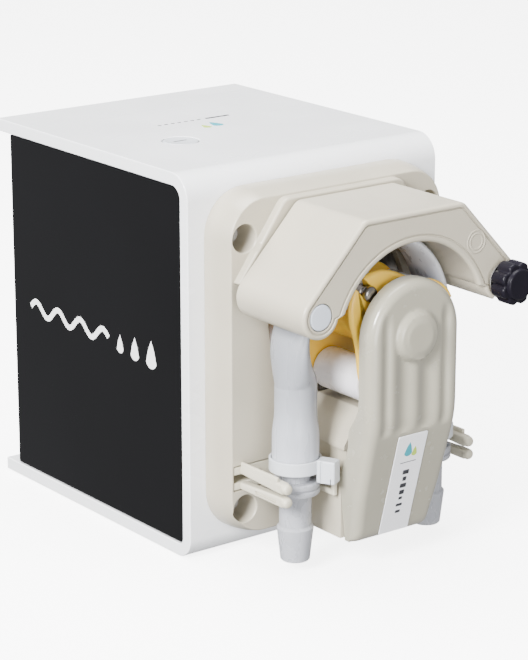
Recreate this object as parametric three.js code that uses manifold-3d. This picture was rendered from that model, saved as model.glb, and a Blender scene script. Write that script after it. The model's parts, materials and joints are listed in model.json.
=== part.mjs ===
// A bench-top peristaltic dosing pump: a bent white sheet enclosure with black side panels,
// and a three-roller pump head on its front face. Millimetres, +Z up, the head faces -Y.
// The origin is the middle of the enclosure's underside.
import * as THREE from 'three';
import { mergeVertices } from 'three/addons/utils/BufferGeometryUtils.js';
import Module from 'manifold-3d';

const wasm = await Module();
wasm.setup();

// ---------------------------------------------------------------- driving dimensions
const GAP = 0.3; // between pieces that touch
const RUN = 0.4; // round a turning or sliding piece
const FAR = 400; // longer than anything in the object

const WIDTH = 120; // enclosure
const DEPTH = 132;
const HEIGHT = 150;
const SHEET = 5;
const TOP_BEND = 10;
const BOTTOM_BEND = 8;
const PANEL_THICK = 3.6;
const PANEL_INSET = 0.4;
const REAR_INSET = 9; // how far the bent sheet runs past the panels at the back

const ROTOR_Z = 93; // pump head: the rotor's axis is at X = 0
const ROLLER_PITCH = 22;
const ROLLER_RADIUS = 8;
const ROLLER_ANGLES = [132, 252, 12];
const SWEEP = ROLLER_PITCH + ROLLER_RADIUS;
const TRACK = 36; // radius of the shoe's track
const TUBE_RADIUS = 8;
const TUBE_BORE = 5;
const TUBE_X = 32.5; // the hanging ends of the tube, left and right
const TUBE_Y = -29.5;

const BASE_FRONT = -14; // depths in the head are measured from the enclosure's front face
const ARCH_BACK = -17.9;
const ARCH_FRONT = -58;
const COVER_FRONT = -60;
const ROLLER_BACK = -17.0;
const ROLLER_FRONT = -43.5;

const SCREW_X = 44.3; // the four corner screws
const SCREW_Z = [22, 127.2];
const RECESS = { radius: 5.35, floor: -2.5, head: -5.6, headHeight: 2.8, headRadius: 3.4 };
const HINGE_X = 43.2; // pivot on the left, lock on the right
const HINGE_Z = 107;
const END_RADIUS = 8.3;
const MOTOR_SIDE = 42.3;
const MOTOR_BOLT = 15.5;
const SHAFT_RADIUS = 3;

// ---------------------------------------------------------------- finishes
function finish(color, roughness, metalness = 0) {
  return () => new THREE.MeshStandardMaterial({ color, roughness, metalness });
}
const white_sheet = finish(0xf4f5f7, 0.3);
const black_gloss = finish(0x0c0d10, 0.12);
const beige = finish(0xcfcabd, 0.45);
const cream = finish(0xe4e0cf, 0.45);
const amber = finish(0xe3a83c, 0.4);
const roller_white = finish(0xf0eff2, 0.35);
const clear_rubber = finish(0xdfe2e6, 0.3);
const barb_plastic = finish(0xe6e8ea, 0.35);
const white_plastic = finish(0xf2f2f0, 0.4);
const knob_black = finish(0x17181b, 0.2);
const pale_blue = finish(0xb9bfce, 0.4);
const label_white = finish(0xf6f6f8, 0.35);
const steel = finish(0x9a9893, 0.28, 1);
const zinc = finish(0xb4b6b8, 0.35, 1);
const board_green = finish(0x1d5a38, 0.5);
const dark_plastic = finish(0x202226, 0.5);
const aluminium = finish(0xb8babd, 0.4, 1);
const laminations = finish(0x4a4b4e, 0.5, 1);

// ---------------------------------------------------------------- solids
const MERGE = 1e-4;
const ARC_STEPS = 5; // three.js doubles this on each arc

// A closed geometry becomes a solid, its faces turned outwards.
function solid(geometry) {
  const bare = geometry.clone();
  bare.deleteAttribute('normal');
  bare.deleteAttribute('uv');
  const merged = mergeVertices(bare, MERGE);
  const index = merged.getIndex().array;
  const at = merged.getAttribute('position');
  const faces = [];
  const [a, b, c] = [new THREE.Vector3(), new THREE.Vector3(), new THREE.Vector3()];
  let volume = 0;
  for (let i = 0; i < index.length; i += 3) {
    const [p, q, r] = [index[i], index[i + 1], index[i + 2]];
    if (p === q || q === r || r === p) continue;
    faces.push([p, q, r]);
    a.fromBufferAttribute(at, p);
    b.fromBufferAttribute(at, q);
    c.fromBufferAttribute(at, r);
    volume += a.dot(b.cross(c));
  }
  const triVerts = new Uint32Array(faces.flatMap((f) => (volume < 0 ? [f[0], f[2], f[1]] : f)));
  return new wasm.Manifold(new wasm.Mesh({ numProp: 3, vertProperties: at.array, triVerts }));
}

function join(...solids) {
  return solids.reduce((sum, next) => sum.add(next));
}

function cut(body, ...tools) {
  return tools.reduce((rest, tool) => rest.subtract(tool), body);
}

const model = new THREE.Group();

// Adds a solid to a group as a named mesh.
function piece(name, body, material, group) {
  const mesh = body.getMesh();
  const geometry = new THREE.BufferGeometry();
  geometry.setAttribute('position', new THREE.BufferAttribute(mesh.vertProperties, 3));
  geometry.setIndex(new THREE.BufferAttribute(mesh.triVerts, 1));
  geometry.computeVertexNormals();
  const node = new THREE.Mesh(geometry, material());
  node.name = name;
  group.add(node);
}

function box(x0, x1, y0, y1, z0, z1) {
  const geometry = new THREE.BoxGeometry(x1 - x0, y1 - y0, z1 - z0);
  geometry.translate((x0 + x1) / 2, (y0 + y1) / 2, (z0 + z1) / 2);
  return solid(geometry);
}

// Extrudes a shape drawn in X and Z from back to front (towards -Y). A bevel rounds the front edge.
function plateY(shape, back, front, bevel = 0) {
  const geometry = new THREE.ExtrudeGeometry(shape, {
    depth: back - front - bevel,
    bevelEnabled: bevel > 0,
    bevelThickness: bevel,
    bevelSize: bevel,
    bevelOffset: -bevel,
    bevelSegments: 2,
    curveSegments: ARC_STEPS,
  });
  geometry.rotateX(Math.PI / 2);
  geometry.translate(0, back, 0);
  const body = solid(geometry);
  return bevel > 0 ? cut(body, box(-FAR, FAR, back, FAR, -FAR, FAR)) : body;
}

// Extrudes a shape drawn in Y and Z along X.
function plateX(shape, x0, x1) {
  const geometry = new THREE.ExtrudeGeometry(shape, {
    depth: x1 - x0,
    bevelEnabled: false,
    curveSegments: ARC_STEPS,
  });
  const turn = new THREE.Matrix4().makeBasis(
    new THREE.Vector3(0, 1, 0),
    new THREE.Vector3(0, 0, 1),
    new THREE.Vector3(1, 0, 0),
  );
  geometry.applyMatrix4(turn);
  geometry.translate(x0, 0, 0);
  return solid(geometry);
}

// Turns a closed [radius, y] profile about an axis along Y.
function turnedY(profile, x, z, sides = 24) {
  const points = profile.map(([r, y]) => new THREE.Vector2(r, y));
  const geometry = new THREE.LatheGeometry(points, sides);
  geometry.translate(x, 0, z);
  return solid(geometry);
}

// Turns a closed [radius, z] profile about an upright axis.
function turnedZ(profile, x, y, sides = 24) {
  const points = profile.map(([r, z]) => new THREE.Vector2(r, z));
  const geometry = new THREE.LatheGeometry(points, sides);
  geometry.rotateX(Math.PI / 2);
  geometry.translate(x, y, 0);
  return solid(geometry);
}

function rodY(radius, y0, y1, x, z, sides = 24) {
  return turnedY([[0, y0], [radius, y0], [radius, y1], [0, y1]], x, z, sides);
}

function rodZ(radius, z0, z1, x, y, sides = 24) {
  return turnedZ([[0, z0], [radius, z0], [radius, z1], [0, z1]], x, y, sides);
}

function ringY(inner, outer, y0, y1, x, z, sides = 24) {
  return turnedY([[inner, y0], [outer, y0], [outer, y1], [inner, y1], [inner, y0]], x, z, sides);
}

function polygon(points) {
  return new THREE.Shape(points.map(([u, v]) => new THREE.Vector2(u, v)));
}

function roundedRect(x0, x1, z0, z1, r) {
  const shape = new THREE.Shape();
  shape.moveTo(x0 + r, z0);
  shape.lineTo(x1 - r, z0);
  shape.absarc(x1 - r, z0 + r, r, -Math.PI / 2, 0, false);
  shape.lineTo(x1, z1 - r);
  shape.absarc(x1 - r, z1 - r, r, 0, Math.PI / 2, false);
  shape.lineTo(x0 + r, z1);
  shape.absarc(x0 + r, z1 - r, r, Math.PI / 2, Math.PI, false);
  shape.lineTo(x0, z0 + r);
  shape.absarc(x0 + r, z0 + r, r, Math.PI, Math.PI * 1.5, false);
  return shape;
}

// A screw along Y: its head ends at headFace, its tip is at tip.
function screwY(x, z, headFace, headHeight, headRadius, shankRadius, tip) {
  const under = headFace + Math.sign(tip - headFace) * headHeight;
  const profile = [
    [0, headFace], [headRadius, headFace], [headRadius, under],
    [shankRadius, under], [shankRadius, tip], [0, tip],
  ];
  return turnedY(profile, x, z, 14);
}

function hexNut(x, z, y0, y1, across, hole) {
  const nut = rodY(across / Math.sqrt(3), y0, y1, x, z, 6);
  return cut(nut, rodY(hole, y0 - 1, y1 + 1, x, z, 12));
}

const radians = (degrees) => (degrees * Math.PI) / 180;

// ---------------------------------------------------------------- enclosure
const front = -DEPTH / 2;
const rear = DEPTH / 2;
const panelRear = rear - REAR_INSET;
const panelInner = WIDTH / 2 - PANEL_INSET - PANEL_THICK;

// Side view of the space between two parallel bends, inset from the sheet's outside.
function bentOutline(inset, back) {
  const top = TOP_BEND - inset;
  const low = BOTTOM_BEND - inset;
  const shape = new THREE.Shape();
  shape.moveTo(back, inset);
  shape.lineTo(back, HEIGHT - inset);
  shape.lineTo(front + TOP_BEND, HEIGHT - inset);
  shape.absarc(front + TOP_BEND, HEIGHT - TOP_BEND, top, Math.PI / 2, Math.PI, false);
  shape.lineTo(front + inset, BOTTOM_BEND);
  shape.absarc(front + BOTTOM_BEND, BOTTOM_BEND, low, Math.PI, Math.PI * 1.5, false);
  return shape;
}

const BUTTON = { x: -25.8, y: -14, radius: 7, rim: 9, travel: 0.8 };
const JACK = { x: -30, z: 26, radius: 5.6 };
const REAR_SCREW = { x: 50, low: 10.8, high: HEIGHT - 10.8 };
const BLOCK = 11; // corner block's side
const rearPanelBack = panelRear;
const rearPanelFront = panelRear - 4;

function enclosure() {
  const cavity = plateX(bentOutline(SHEET, FAR), -FAR, FAR);
  const holes = [
    rodY(11.4, front - 1, front + SHEET + 1, 0, ROTOR_Z),
    rodZ(BUTTON.radius + RUN, HEIGHT - SHEET - 1, HEIGHT + 1, BUTTON.x, BUTTON.y),
  ];
  for (const x of [-SCREW_X, SCREW_X]) {
    for (const z of SCREW_Z) holes.push(rodY(2.4, front - 1, front + SHEET + 1, x, z, 12));
  }
  for (const s of [-1, 1]) {
    holes.push(rodY(1.8, front - 1, front + SHEET + 1, s * MOTOR_BOLT, ROTOR_Z + s * MOTOR_BOLT, 10));
  }
  const wrap = cut(plateX(bentOutline(0, rear), -WIDTH / 2, WIDTH / 2), cavity, ...holes);
  piece('enclosure_wrap', wrap, white_sheet, model);

  const panel = bentOutline(SHEET + GAP, panelRear);
  piece('left_side_panel', plateX(panel, -panelInner - PANEL_THICK, -panelInner), black_gloss, model);
  piece('right_side_panel', plateX(panel, panelInner, panelInner + PANEL_THICK), black_gloss, model);
}

function rearPanel() {
  const side = panelInner - GAP;
  const low = SHEET + GAP;
  const high = HEIGHT - SHEET - GAP;
  const spots = [
    [-REAR_SCREW.x, REAR_SCREW.low],
    [REAR_SCREW.x, REAR_SCREW.low],
    [-REAR_SCREW.x, REAR_SCREW.high],
    [REAR_SCREW.x, REAR_SCREW.high],
  ];
  const holes = spots.map(([x, z]) => rodY(1.8, rearPanelFront - 1, rearPanelBack + 1, x, z, 12));
  holes.push(rodY(JACK.radius + GAP, rearPanelFront - 1, rearPanelBack + 1, JACK.x, JACK.z));
  const wall = box(-side, side, rearPanelFront, rearPanelBack, low, high);
  piece('rear_panel', cut(wall, ...holes), black_gloss, model);

  const blockBack = rearPanelFront - GAP;
  spots.forEach(([x, z], i) => {
    const x0 = x < 0 ? -side : side - BLOCK;
    const z0 = z < HEIGHT / 2 ? low : high - BLOCK;
    const block = box(x0, x0 + BLOCK, blockBack - BLOCK, blockBack, z0, z0 + BLOCK);
    const hole = rodY(1.7, blockBack - 9.5, blockBack + 1, x, z, 12);
    piece(`corner_block_${i + 1}`, cut(block, hole), cream, model);
    const screw = screwY(x, z, rearPanelBack + GAP + 1.8, 1.8, 2.8, 1.4, blockBack - 9);
    piece(`rear_screw_${i + 1}`, screw, steel, model);
  });
}

function electronics() {
  const boardTop = HEIGHT - SHEET - GAP - BLOCK - GAP;
  const boardBack = rearPanelFront - GAP;
  piece('control_board', box(-50, 50, -32, boardBack, boardTop - 1.6, boardTop), board_green, model);

  const capTop = HEIGHT;
  const underSheet = HEIGHT - SHEET - GAP;
  const capProfile = [
    [0, capTop],
    [BUTTON.radius, capTop],
    [BUTTON.radius, underSheet],
    [BUTTON.rim, underSheet],
    [BUTTON.rim, underSheet - 1.6],
    [0, underSheet - 1.6],
  ];
  piece('power_button', turnedZ(capProfile, BUTTON.x, BUTTON.y, 28), white_plastic, model);

  const switchTop = underSheet - 1.6 - BUTTON.travel - GAP;
  const plunger = rodZ(1.7, switchTop - 1.5, switchTop, BUTTON.x, BUTTON.y, 12);
  const half = 3;
  const block = box(
    BUTTON.x - half, BUTTON.x + half, BUTTON.y - half, BUTTON.y + half, boardTop + GAP, switchTop - 1.4,
  );
  piece('button_switch', join(block, plunger), dark_plastic, model);

  const nose = rearPanelBack + 1.2;
  const jack = join(
    rodY(JACK.radius, rearPanelFront - 10, nose, JACK.x, JACK.z),
    rodY(JACK.radius + 1.6, rearPanelBack + GAP, nose, JACK.x, JACK.z),
    rodY(JACK.radius + 1.6, rearPanelFront - 3, rearPanelFront - GAP, JACK.x, JACK.z, 6),
  );
  const socket = ringY(1.1, 3.4, rearPanelFront - 6, nose + 1, JACK.x, JACK.z, 16);
  piece('power_jack', cut(jack, socket), dark_plastic, model);
}

// ---------------------------------------------------------------- pump head
const head = new THREE.Group();
head.position.y = front;
model.add(head);

const backPlane = 0;
const POCKET = 33.2; // round recess behind the rotor
const POCKET_FLOOR = -11;
const LEDGE_FRONT = -17.3; // the raised ledge round the shoe
const BLOCK_FRONT = -41;
const CLIP_Z = [30, 39.4];

function headBase() {
  const plate = plateY(roundedRect(-52.7, 52.7, 9.4, 143.6, 17.5), backPlane, BASE_FRONT, 2.2);
  const ledgeLine = [[-28, 140.6], [-49.5, 111], [49.5, 111], [28, 140.6]];
  const ledge = plateY(polygon(ledgeLine), BASE_FRONT + 1, LEDGE_FRONT);
  const lower = plateY(
    polygon([
      [-20, 12.5], [20, 12.5], [20, 39], [17.4, 39], [17.4, 47], [18.6, 47], [18.6, 49],
      [17.2, 51], [14, 56.5], [9, 61.4], [-9, 61.4], [-14, 56.5], [-17.2, 51],
      [-18.6, 49], [-18.6, 47], [-17.4, 47], [-17.4, 39], [-20, 39],
    ]),
    BASE_FRONT + 1,
    BLOCK_FRONT,
  );
  const cuts = [
    rodY(11.4, 1, POCKET_FLOOR - 1, 0, ROTOR_Z),
    rodY(4.2, -2.7, LEDGE_FRONT - 1, -HINGE_X, HINGE_Z, 16),
    rodY(3.2, -2.7, LEDGE_FRONT - 1, HINGE_X, HINGE_Z, 16),
  ];
  for (const x of [-SCREW_X, SCREW_X]) {
    for (const z of SCREW_Z) {
      cuts.push(rodY(RECESS.radius, RECESS.floor, LEDGE_FRONT - 1, x, z));
      cuts.push(rodY(2.4, 1, RECESS.floor - 1, x, z, 12));
    }
  }
  for (const s of [-1, 1]) {
    const x = s * MOTOR_BOLT;
    const z = ROTOR_Z + s * MOTOR_BOLT;
    cuts.push(rodY(3.2, -7, POCKET_FLOOR - 1, x, z, 14));
    cuts.push(rodY(1.8, 1, -8, x, z, 10));
    const x0 = s < 0 ? -49.6 : 20.6;
    cuts.push(box(x0, x0 + 29, BASE_FRONT - 1, -5, CLIP_Z[0] - GAP, CLIP_Z[1] + GAP));
  }
  const pocket = rodY(POCKET, POCKET_FLOOR, LEDGE_FRONT - 1, 0, ROTOR_Z, 36);
  const pocketed = cut(join(plate, ledge), pocket);
  piece('head_base', cut(join(pocketed, lower), ...cuts), beige, head);
  piece('wear_plate', ringY(12, POCKET - 0.6, -11.3, -12.3, 0, ROTOR_Z, 36), steel, head);
}

function fasteners() {
  let count = 0;
  for (const z of SCREW_Z) {
    for (const x of [-SCREW_X, SCREW_X]) {
      count += 1;
      const r = RECESS;
      const screw = screwY(x, z, r.head, r.headHeight, r.headRadius, 2, SHEET + 4.5);
      piece(`mounting_screw_${count}`, screw, zinc, head);
      piece(`mounting_nut_${count}`, hexNut(x, z, SHEET + GAP, SHEET + 3.5, 7, 2.3), zinc, head);
    }
  }
  [-1, 1].forEach((s, i) => {
    const screw = screwY(s * MOTOR_BOLT, ROTOR_Z + s * MOTOR_BOLT, -10.6, 3, 2.8, 1.4, SHEET + 6);
    piece(`motor_screw_${i + 1}`, screw, steel, head);
  });
}

function motor() {
  const faceY = SHEET + GAP;
  const half = MOTOR_SIDE / 2;
  const corner = 5;
  const slab = (y0, y1, inset = 0) => {
    const h = half - inset;
    const c = h - corner;
    const square = [[-h, -c], [-c, -h], [c, -h], [h, -c], [h, c], [c, h], [-c, h], [-h, c]];
    return plateY(polygon(square.map(([x, z]) => [x, ROTOR_Z + z])), y1, y0);
  };
  const flangeEnd = faceY + 8;
  const statorEnd = flangeEnd + 42;
  const capEnd = statorEnd + 10;
  const tapped = (s) => rodY(1.7, faceY - 1, faceY + 6, s * MOTOR_BOLT, ROTOR_Z + s * MOTOR_BOLT, 10);
  const flange = cut(
    join(slab(faceY, flangeEnd), rodY(10.8, faceY + 1, 1.5, 0, ROTOR_Z)),
    rodY(SHAFT_RADIUS + RUN, 0, flangeEnd + 1, 0, ROTOR_Z, 16),
    rodY(6.8, flangeEnd - 5, flangeEnd + 1, 0, ROTOR_Z),
    tapped(-1),
    tapped(1),
  );
  piece('motor_front_flange', flange, aluminium, head);
  const bore = rodY(14.2, 0, statorEnd + 1, 0, ROTOR_Z);
  piece('motor_stator', cut(slab(flangeEnd + GAP, statorEnd, 0.6), bore), laminations, head);
  const cap = cut(slab(statorEnd + GAP, capEnd), rodY(6.8, statorEnd, statorEnd + 6, 0, ROTOR_Z));
  piece('motor_rear_cap', cap, aluminium, head);
  const bearing = (y) => ringY(SHAFT_RADIUS + GAP, 6.5, y, y + 4.4, 0, ROTOR_Z, 20);
  piece('motor_bearing_front', bearing(flangeEnd - 4.7), steel, head);
  piece('motor_bearing_rear', bearing(statorEnd + 0.8), steel, head);
  const magnet = ringY(SHAFT_RADIUS + GAP, 13.6, flangeEnd + 3, statorEnd - 3, 0, ROTOR_Z, 28);
  piece('motor_magnet_rotor', magnet, laminations, head);
  piece('drive_shaft', rodY(SHAFT_RADIUS, -56.6, statorEnd + 5.4, 0, ROTOR_Z, 20), steel, head);
}

// ---------------------------------------------------------------- rotor
const LOBE = 28;
const VALLEY = 20;
const PIN_RADIUS = 2.2;
const HUB = 9;
const PLATE_STEP = 3.5; // how far the front plate's back is set in from its rim

function lobedShape(inset = 0) {
  const steps = 48;
  const points = [];
  for (let i = 0; i < steps; i += 1) {
    const angle = (i / steps) * Math.PI * 2;
    const wave = (1 + Math.cos(3 * (angle - radians(ROLLER_ANGLES[0])))) / 2;
    const r = VALLEY + (LOBE - VALLEY) * wave - inset;
    points.push([r * Math.cos(angle), ROTOR_Z + r * Math.sin(angle)]);
  }
  return polygon(points);
}

function rollerSpots() {
  return ROLLER_ANGLES.map((degrees) => {
    const angle = radians(degrees);
    return [ROLLER_PITCH * Math.cos(angle), ROTOR_Z + ROLLER_PITCH * Math.sin(angle)];
  });
}

// The slot from a pin out through the end of its lobe.
function tipSlot([x, z]) {
  const half = PIN_RADIUS + GAP;
  const out = [x / ROLLER_PITCH, (z - ROTOR_Z) / ROLLER_PITCH];
  const side = [-out[1] * half, out[0] * half];
  const end = [x + out[0] * ROLLER_RADIUS, z + out[1] * ROLLER_RADIUS];
  return polygon([
    [x - side[0], z - side[1]], [end[0] - side[0], end[1] - side[1]],
    [end[0] + side[0], end[1] + side[1]], [x + side[0], z + side[1]],
  ]);
}

function rotor() {
  const lobes = lobedShape();
  const spots = rollerSpots();
  const discBack = ROLLER_BACK + 4.1;
  const plateBack = ROLLER_FRONT - 1.1;
  const plateFront = ROLLER_FRONT - 6;
  const rimBack = plateFront + 2.6;
  const bore = rodY(SHAFT_RADIUS + GAP, 0, -FAR, 0, ROTOR_Z, 16);
  const pinHoles = (y0, y1) => spots.map(([x, z]) => rodY(PIN_RADIUS + GAP, y0, y1, x, z, 14));

  const hub = rodY(HUB, discBack, ROLLER_FRONT - 0.8, 0, ROTOR_Z);
  const body = join(plateY(lobes, discBack, ROLLER_BACK + 0.6), hub);
  piece('rotor_body', cut(body, bore, ...pinHoles(discBack - 1.2, ROLLER_BACK - 1)), amber, head);
  const core = plateY(lobedShape(PLATE_STEP), plateBack, rimBack - 1);
  const plate = join(core, plateY(lobes, rimBack, plateFront, 1.2));
  const slots = spots.map((spot) => plateY(tipSlot(spot), 0, -FAR));
  piece('rotor_front_plate', cut(plate, bore, ...pinHoles(0, -FAR), ...slots), amber, head);

  spots.forEach(([x, z], i) => {
    const roller = ringY(PIN_RADIUS + RUN, ROLLER_RADIUS, ROLLER_BACK, ROLLER_FRONT, x, z, 28);
    piece(`roller_${i + 1}`, roller, roller_white, head);
    const profile = [
      [0, discBack - 1.5], [PIN_RADIUS, discBack - 1.5], [PIN_RADIUS, plateFront - GAP],
      [3.4, plateFront - GAP], [3.4, plateFront - 2.2], [0, plateFront - 2.2],
    ];
    piece(`roller_pin_${i + 1}`, turnedY(profile, x, z, 16), steel, head);
  });
}

// ---------------------------------------------------------------- pressure shoe, its hinge and lock
// Front view: a trapezoid with round ends, open below round the rotor.
function archShape(track) {
  const top = 139.6;
  const shoulder = 21.5;
  const shoulderRadius = 5;
  const slope = radians(49); // the sloping sides, from level
  const shape = new THREE.Shape();
  const lowerAngle = Math.PI / 14; // where each round end meets the track side
  const start = Math.asin((HINGE_Z - 0.6 - ROTOR_Z) / track);
  shape.moveTo(track * Math.cos(start), ROTOR_Z + track * Math.sin(start));
  shape.absarc(HINGE_X, HINGE_Z, END_RADIUS, Math.PI + lowerAngle, Math.PI * 2.5 - slope, false);
  shape.absarc(shoulder, top - shoulderRadius, shoulderRadius, Math.PI / 2 - slope, Math.PI / 2, false);
  shape.absarc(-shoulder, top - shoulderRadius, shoulderRadius, Math.PI / 2, Math.PI / 2 + slope, false);
  shape.absarc(-HINGE_X, HINGE_Z, END_RADIUS, Math.PI / 2 + slope, Math.PI * 2 - lowerAngle, false);
  shape.absarc(0, ROTOR_Z, track, Math.PI - start, start, true);
  return shape;
}

const CAP_DEPTH = 2.5;
const KNOB = { back: -59.9, front: -68.8, radius: 8.3, lobes: 8, depth: 0.75 };
const WASHER = { back: -58.35, front: -59.55 };

function pressureArch() {
  const lipBack = ARCH_FRONT + 3.4;
  const shoe = join(
    plateY(archShape(TRACK), ARCH_BACK, lipBack),
    plateY(archShape(TRACK - 1.2), lipBack + 0.5, ARCH_FRONT, 1.2),
  );
  const pivotBore = rodY(4.25, 0, -FAR, -HINGE_X, HINGE_Z, 20);
  const capSeat = rodY(5.2, ARCH_FRONT + CAP_DEPTH + GAP, -FAR, -HINGE_X, HINGE_Z, 24);
  const slotHalf = 3.5;
  const slot = join(
    box(HINGE_X - slotHalf, HINGE_X + slotHalf, -FAR, 0, HINGE_Z - 20, HINGE_Z),
    rodY(slotHalf, 0, -FAR, HINGE_X, HINGE_Z, 20),
  );
  piece('pressure_arch', cut(shoe, pivotBore, capSeat, slot), beige, head);
  const capBack = ARCH_FRONT + CAP_DEPTH;
  piece('pivot_cap', rodY(4.9, capBack, ARCH_FRONT, -HINGE_X, HINGE_Z, 24), pale_blue, head);
  piece('pivot_pin', rodY(3.9, -3, capBack + 1, -HINGE_X, HINGE_Z, 20), steel, head);
}

function lock() {
  const studTip = -66.2;
  piece('lock_stud', rodY(2.9, -3, studTip, HINGE_X, HINGE_Z, 16), steel, head);
  const washer = ringY(3.3, 7.3, WASHER.back, WASHER.front, HINGE_X, HINGE_Z, 24);
  piece('lock_washer', washer, steel, head);
  const points = [];
  const steps = 32;
  for (let i = 0; i < steps; i += 1) {
    const angle = (i / steps) * Math.PI * 2;
    const r = KNOB.radius - (KNOB.depth * (1 - Math.cos(KNOB.lobes * angle))) / 2;
    points.push([HINGE_X + r * Math.cos(angle), HINGE_Z + r * Math.sin(angle)]);
  }
  const body = join(
    plateY(polygon(points), KNOB.back, KNOB.front + 1.4, 1),
    rodY(6, KNOB.back - 2, KNOB.front, HINGE_X, HINGE_Z, 24),
  );
  const bore = rodY(3.3, 0, studTip - 0.6, HINGE_X, HINGE_Z, 16);
  piece('lock_knob', cut(body, bore), knob_black, head);
}

// ---------------------------------------------------------------- front cover
const COVER_BACK = -52.5;
const LOW_FRONT = -47.4; // the cover's front at its lower end
const COVER_LOW = 11.5;
const COVER_RADIUS = 21.3;
const BEND_Z = 59; // below this height the front leans back
const WALL = 2.4;

// Front view of the cover, drawn with its edge moved in by an inset.
function coverShape(inset) {
  const r = COVER_RADIUS - inset;
  const shape = new THREE.Shape();
  shape.moveTo(-18 + inset, COVER_LOW + inset);
  shape.lineTo(18 - inset, COVER_LOW + inset);
  shape.lineTo(20.1 - inset, 31);
  shape.lineTo(20.8 - inset, 48);
  shape.lineTo(r, 66);
  shape.absarc(0, ROTOR_Z, r, 0, Math.PI, false);
  shape.lineTo(-r, 66);
  shape.lineTo(-20.8 + inset, 48);
  shape.lineTo(-20.1 + inset, 31);
  return shape;
}

// Side views of the space behind the cover's front, which leans back below its bend.
function leaningFront(wall, low, rest) {
  const bend = [[COVER_FRONT + wall, 130], [COVER_FRONT + wall, BEND_Z], [LOW_FRONT + wall, low]];
  return plateX(polygon([...bend, ...rest]), -FAR, FAR);
}

function frontCover() {
  const back = BLOCK_FRONT - GAP;
  const low = COVER_LOW - 1;
  const stepped = [
    [back, low], [back, 39.5], [-48, 39.5], [-46, 48], [-46, 58], [COVER_BACK, 66], [COVER_BACK, 130],
  ];
  const outer = plateY(coverShape(0), back, COVER_FRONT, 3).intersect(leaningFront(0, low, stepped));
  const open = [[10, COVER_LOW], [10, 130]];
  const inner = plateY(coverShape(WALL), back + 1, COVER_FRONT + WALL).intersect(
    leaningFront(WALL, COVER_LOW, open),
  );
  const raised = [
    [0, COVER_FRONT + 1], [10, COVER_FRONT + 1], [10, COVER_FRONT - 1.4],
    [8.6, COVER_FRONT - 2.4], [0, COVER_FRONT - 2.4],
  ];
  const boss = join(
    rodY(11.2, COVER_BACK, COVER_FRONT + 1, 0, ROTOR_Z, 32),
    turnedY(raised, 0, ROTOR_Z, 32),
  );
  const seat = rodY(8.8, 0, COVER_FRONT + 2.4, 0, ROTOR_Z, 28);
  const lean = Math.atan2(LOW_FRONT - COVER_FRONT, BEND_Z - COVER_LOW);
  const recess = labelBlank(7.4, 21.9, -0.5, 4, lean);
  piece('front_cover', cut(join(cut(outer, inner), boss), seat, recess), beige, head);
  piece('cover_label', labelBlank(7.1, 21.6, -0.2, 0.2, lean), label_white, head);
  const bearing = ringY(SHAFT_RADIUS + GAP, 8.5, COVER_BACK - 0.1, COVER_BACK - 4.9, 0, ROTOR_Z, 28);
  piece('cover_bearing', bearing, steel, head);
}

// A slab on the leaning lower front, centred on the label, from one height above it to another.
function labelBlank(halfWidth, halfLength, from, to, lean) {
  const middle = 34;
  const surface = LOW_FRONT + ((COVER_FRONT - LOW_FRONT) * (middle - COVER_LOW)) / (BEND_Z - COVER_LOW);
  const geometry = new THREE.BoxGeometry(halfWidth * 2, to - from, halfLength * 2);
  geometry.translate(0, -(from + to) / 2, 0);
  geometry.rotateX(lean);
  geometry.translate(0, surface, middle);
  return solid(geometry);
}

// ---------------------------------------------------------------- tube and its fittings
const BARB = { low: 4, widest: 17, flange: 31, flangeTop: 36, top: 56, bore: 3.6, stem: 6.1 };
const TUBE_END = CLIP_Z[1] + GAP;

const smooth = (value, low, high) => {
  const t = Math.min(Math.max((value - low) / (high - low), 0), 1);
  return t * t * (3 - 2 * t);
};

// The hanging part of the tube at a height: how far its centre is from X = 0, and half its thickness.
function tubeLeg(z) {
  const fitted = 0.9 * (1 - smooth(z, 53, 63)); // stretched over the barb
  const outer = TUBE_X + TUBE_RADIUS + fitted - (7.4 + fitted) * smooth(z, 84, 108);
  const clear = SWEEP + 0.9; // its sides turn inwards between stations
  const rise = Math.min(Math.abs(z - ROTOR_Z), clear);
  const inner = Math.max(TUBE_X - TUBE_RADIUS - fitted, Math.sqrt(clear * clear - rise * rise));
  return { x: (outer + inner) / 2, half: (outer - inner) / 2 };
}

// Stations along the tube: centre, half thickness across the track, half width along Y.
function tubeStations() {
  const legHeights = [TUBE_END, 45, 53, 58, 64, 72, 76, 80, 84, 88, 92, 96, 100, 104];
  const leg = legHeights.map((z) => ({ ...tubeLeg(z), z }));
  const midRadius = (SWEEP + TRACK) / 2;
  const pinched = (TRACK - SWEEP) / 2 - GAP;
  const start = Math.asin((107 - ROTOR_Z) / midRadius);
  const steps = 18;
  const arc = [];
  for (let i = 0; i <= steps; i += 1) {
    const angle = start + ((Math.PI - 2 * start) * i) / steps;
    arc.push({ x: midRadius * Math.cos(angle), z: ROTOR_Z + midRadius * Math.sin(angle), half: pinched });
  }
  const right = leg.map((s) => ({ ...s }));
  const left = leg.map((s) => ({ ...s, x: -s.x })).reverse();
  return [...right, ...arc, ...left];
}

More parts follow.
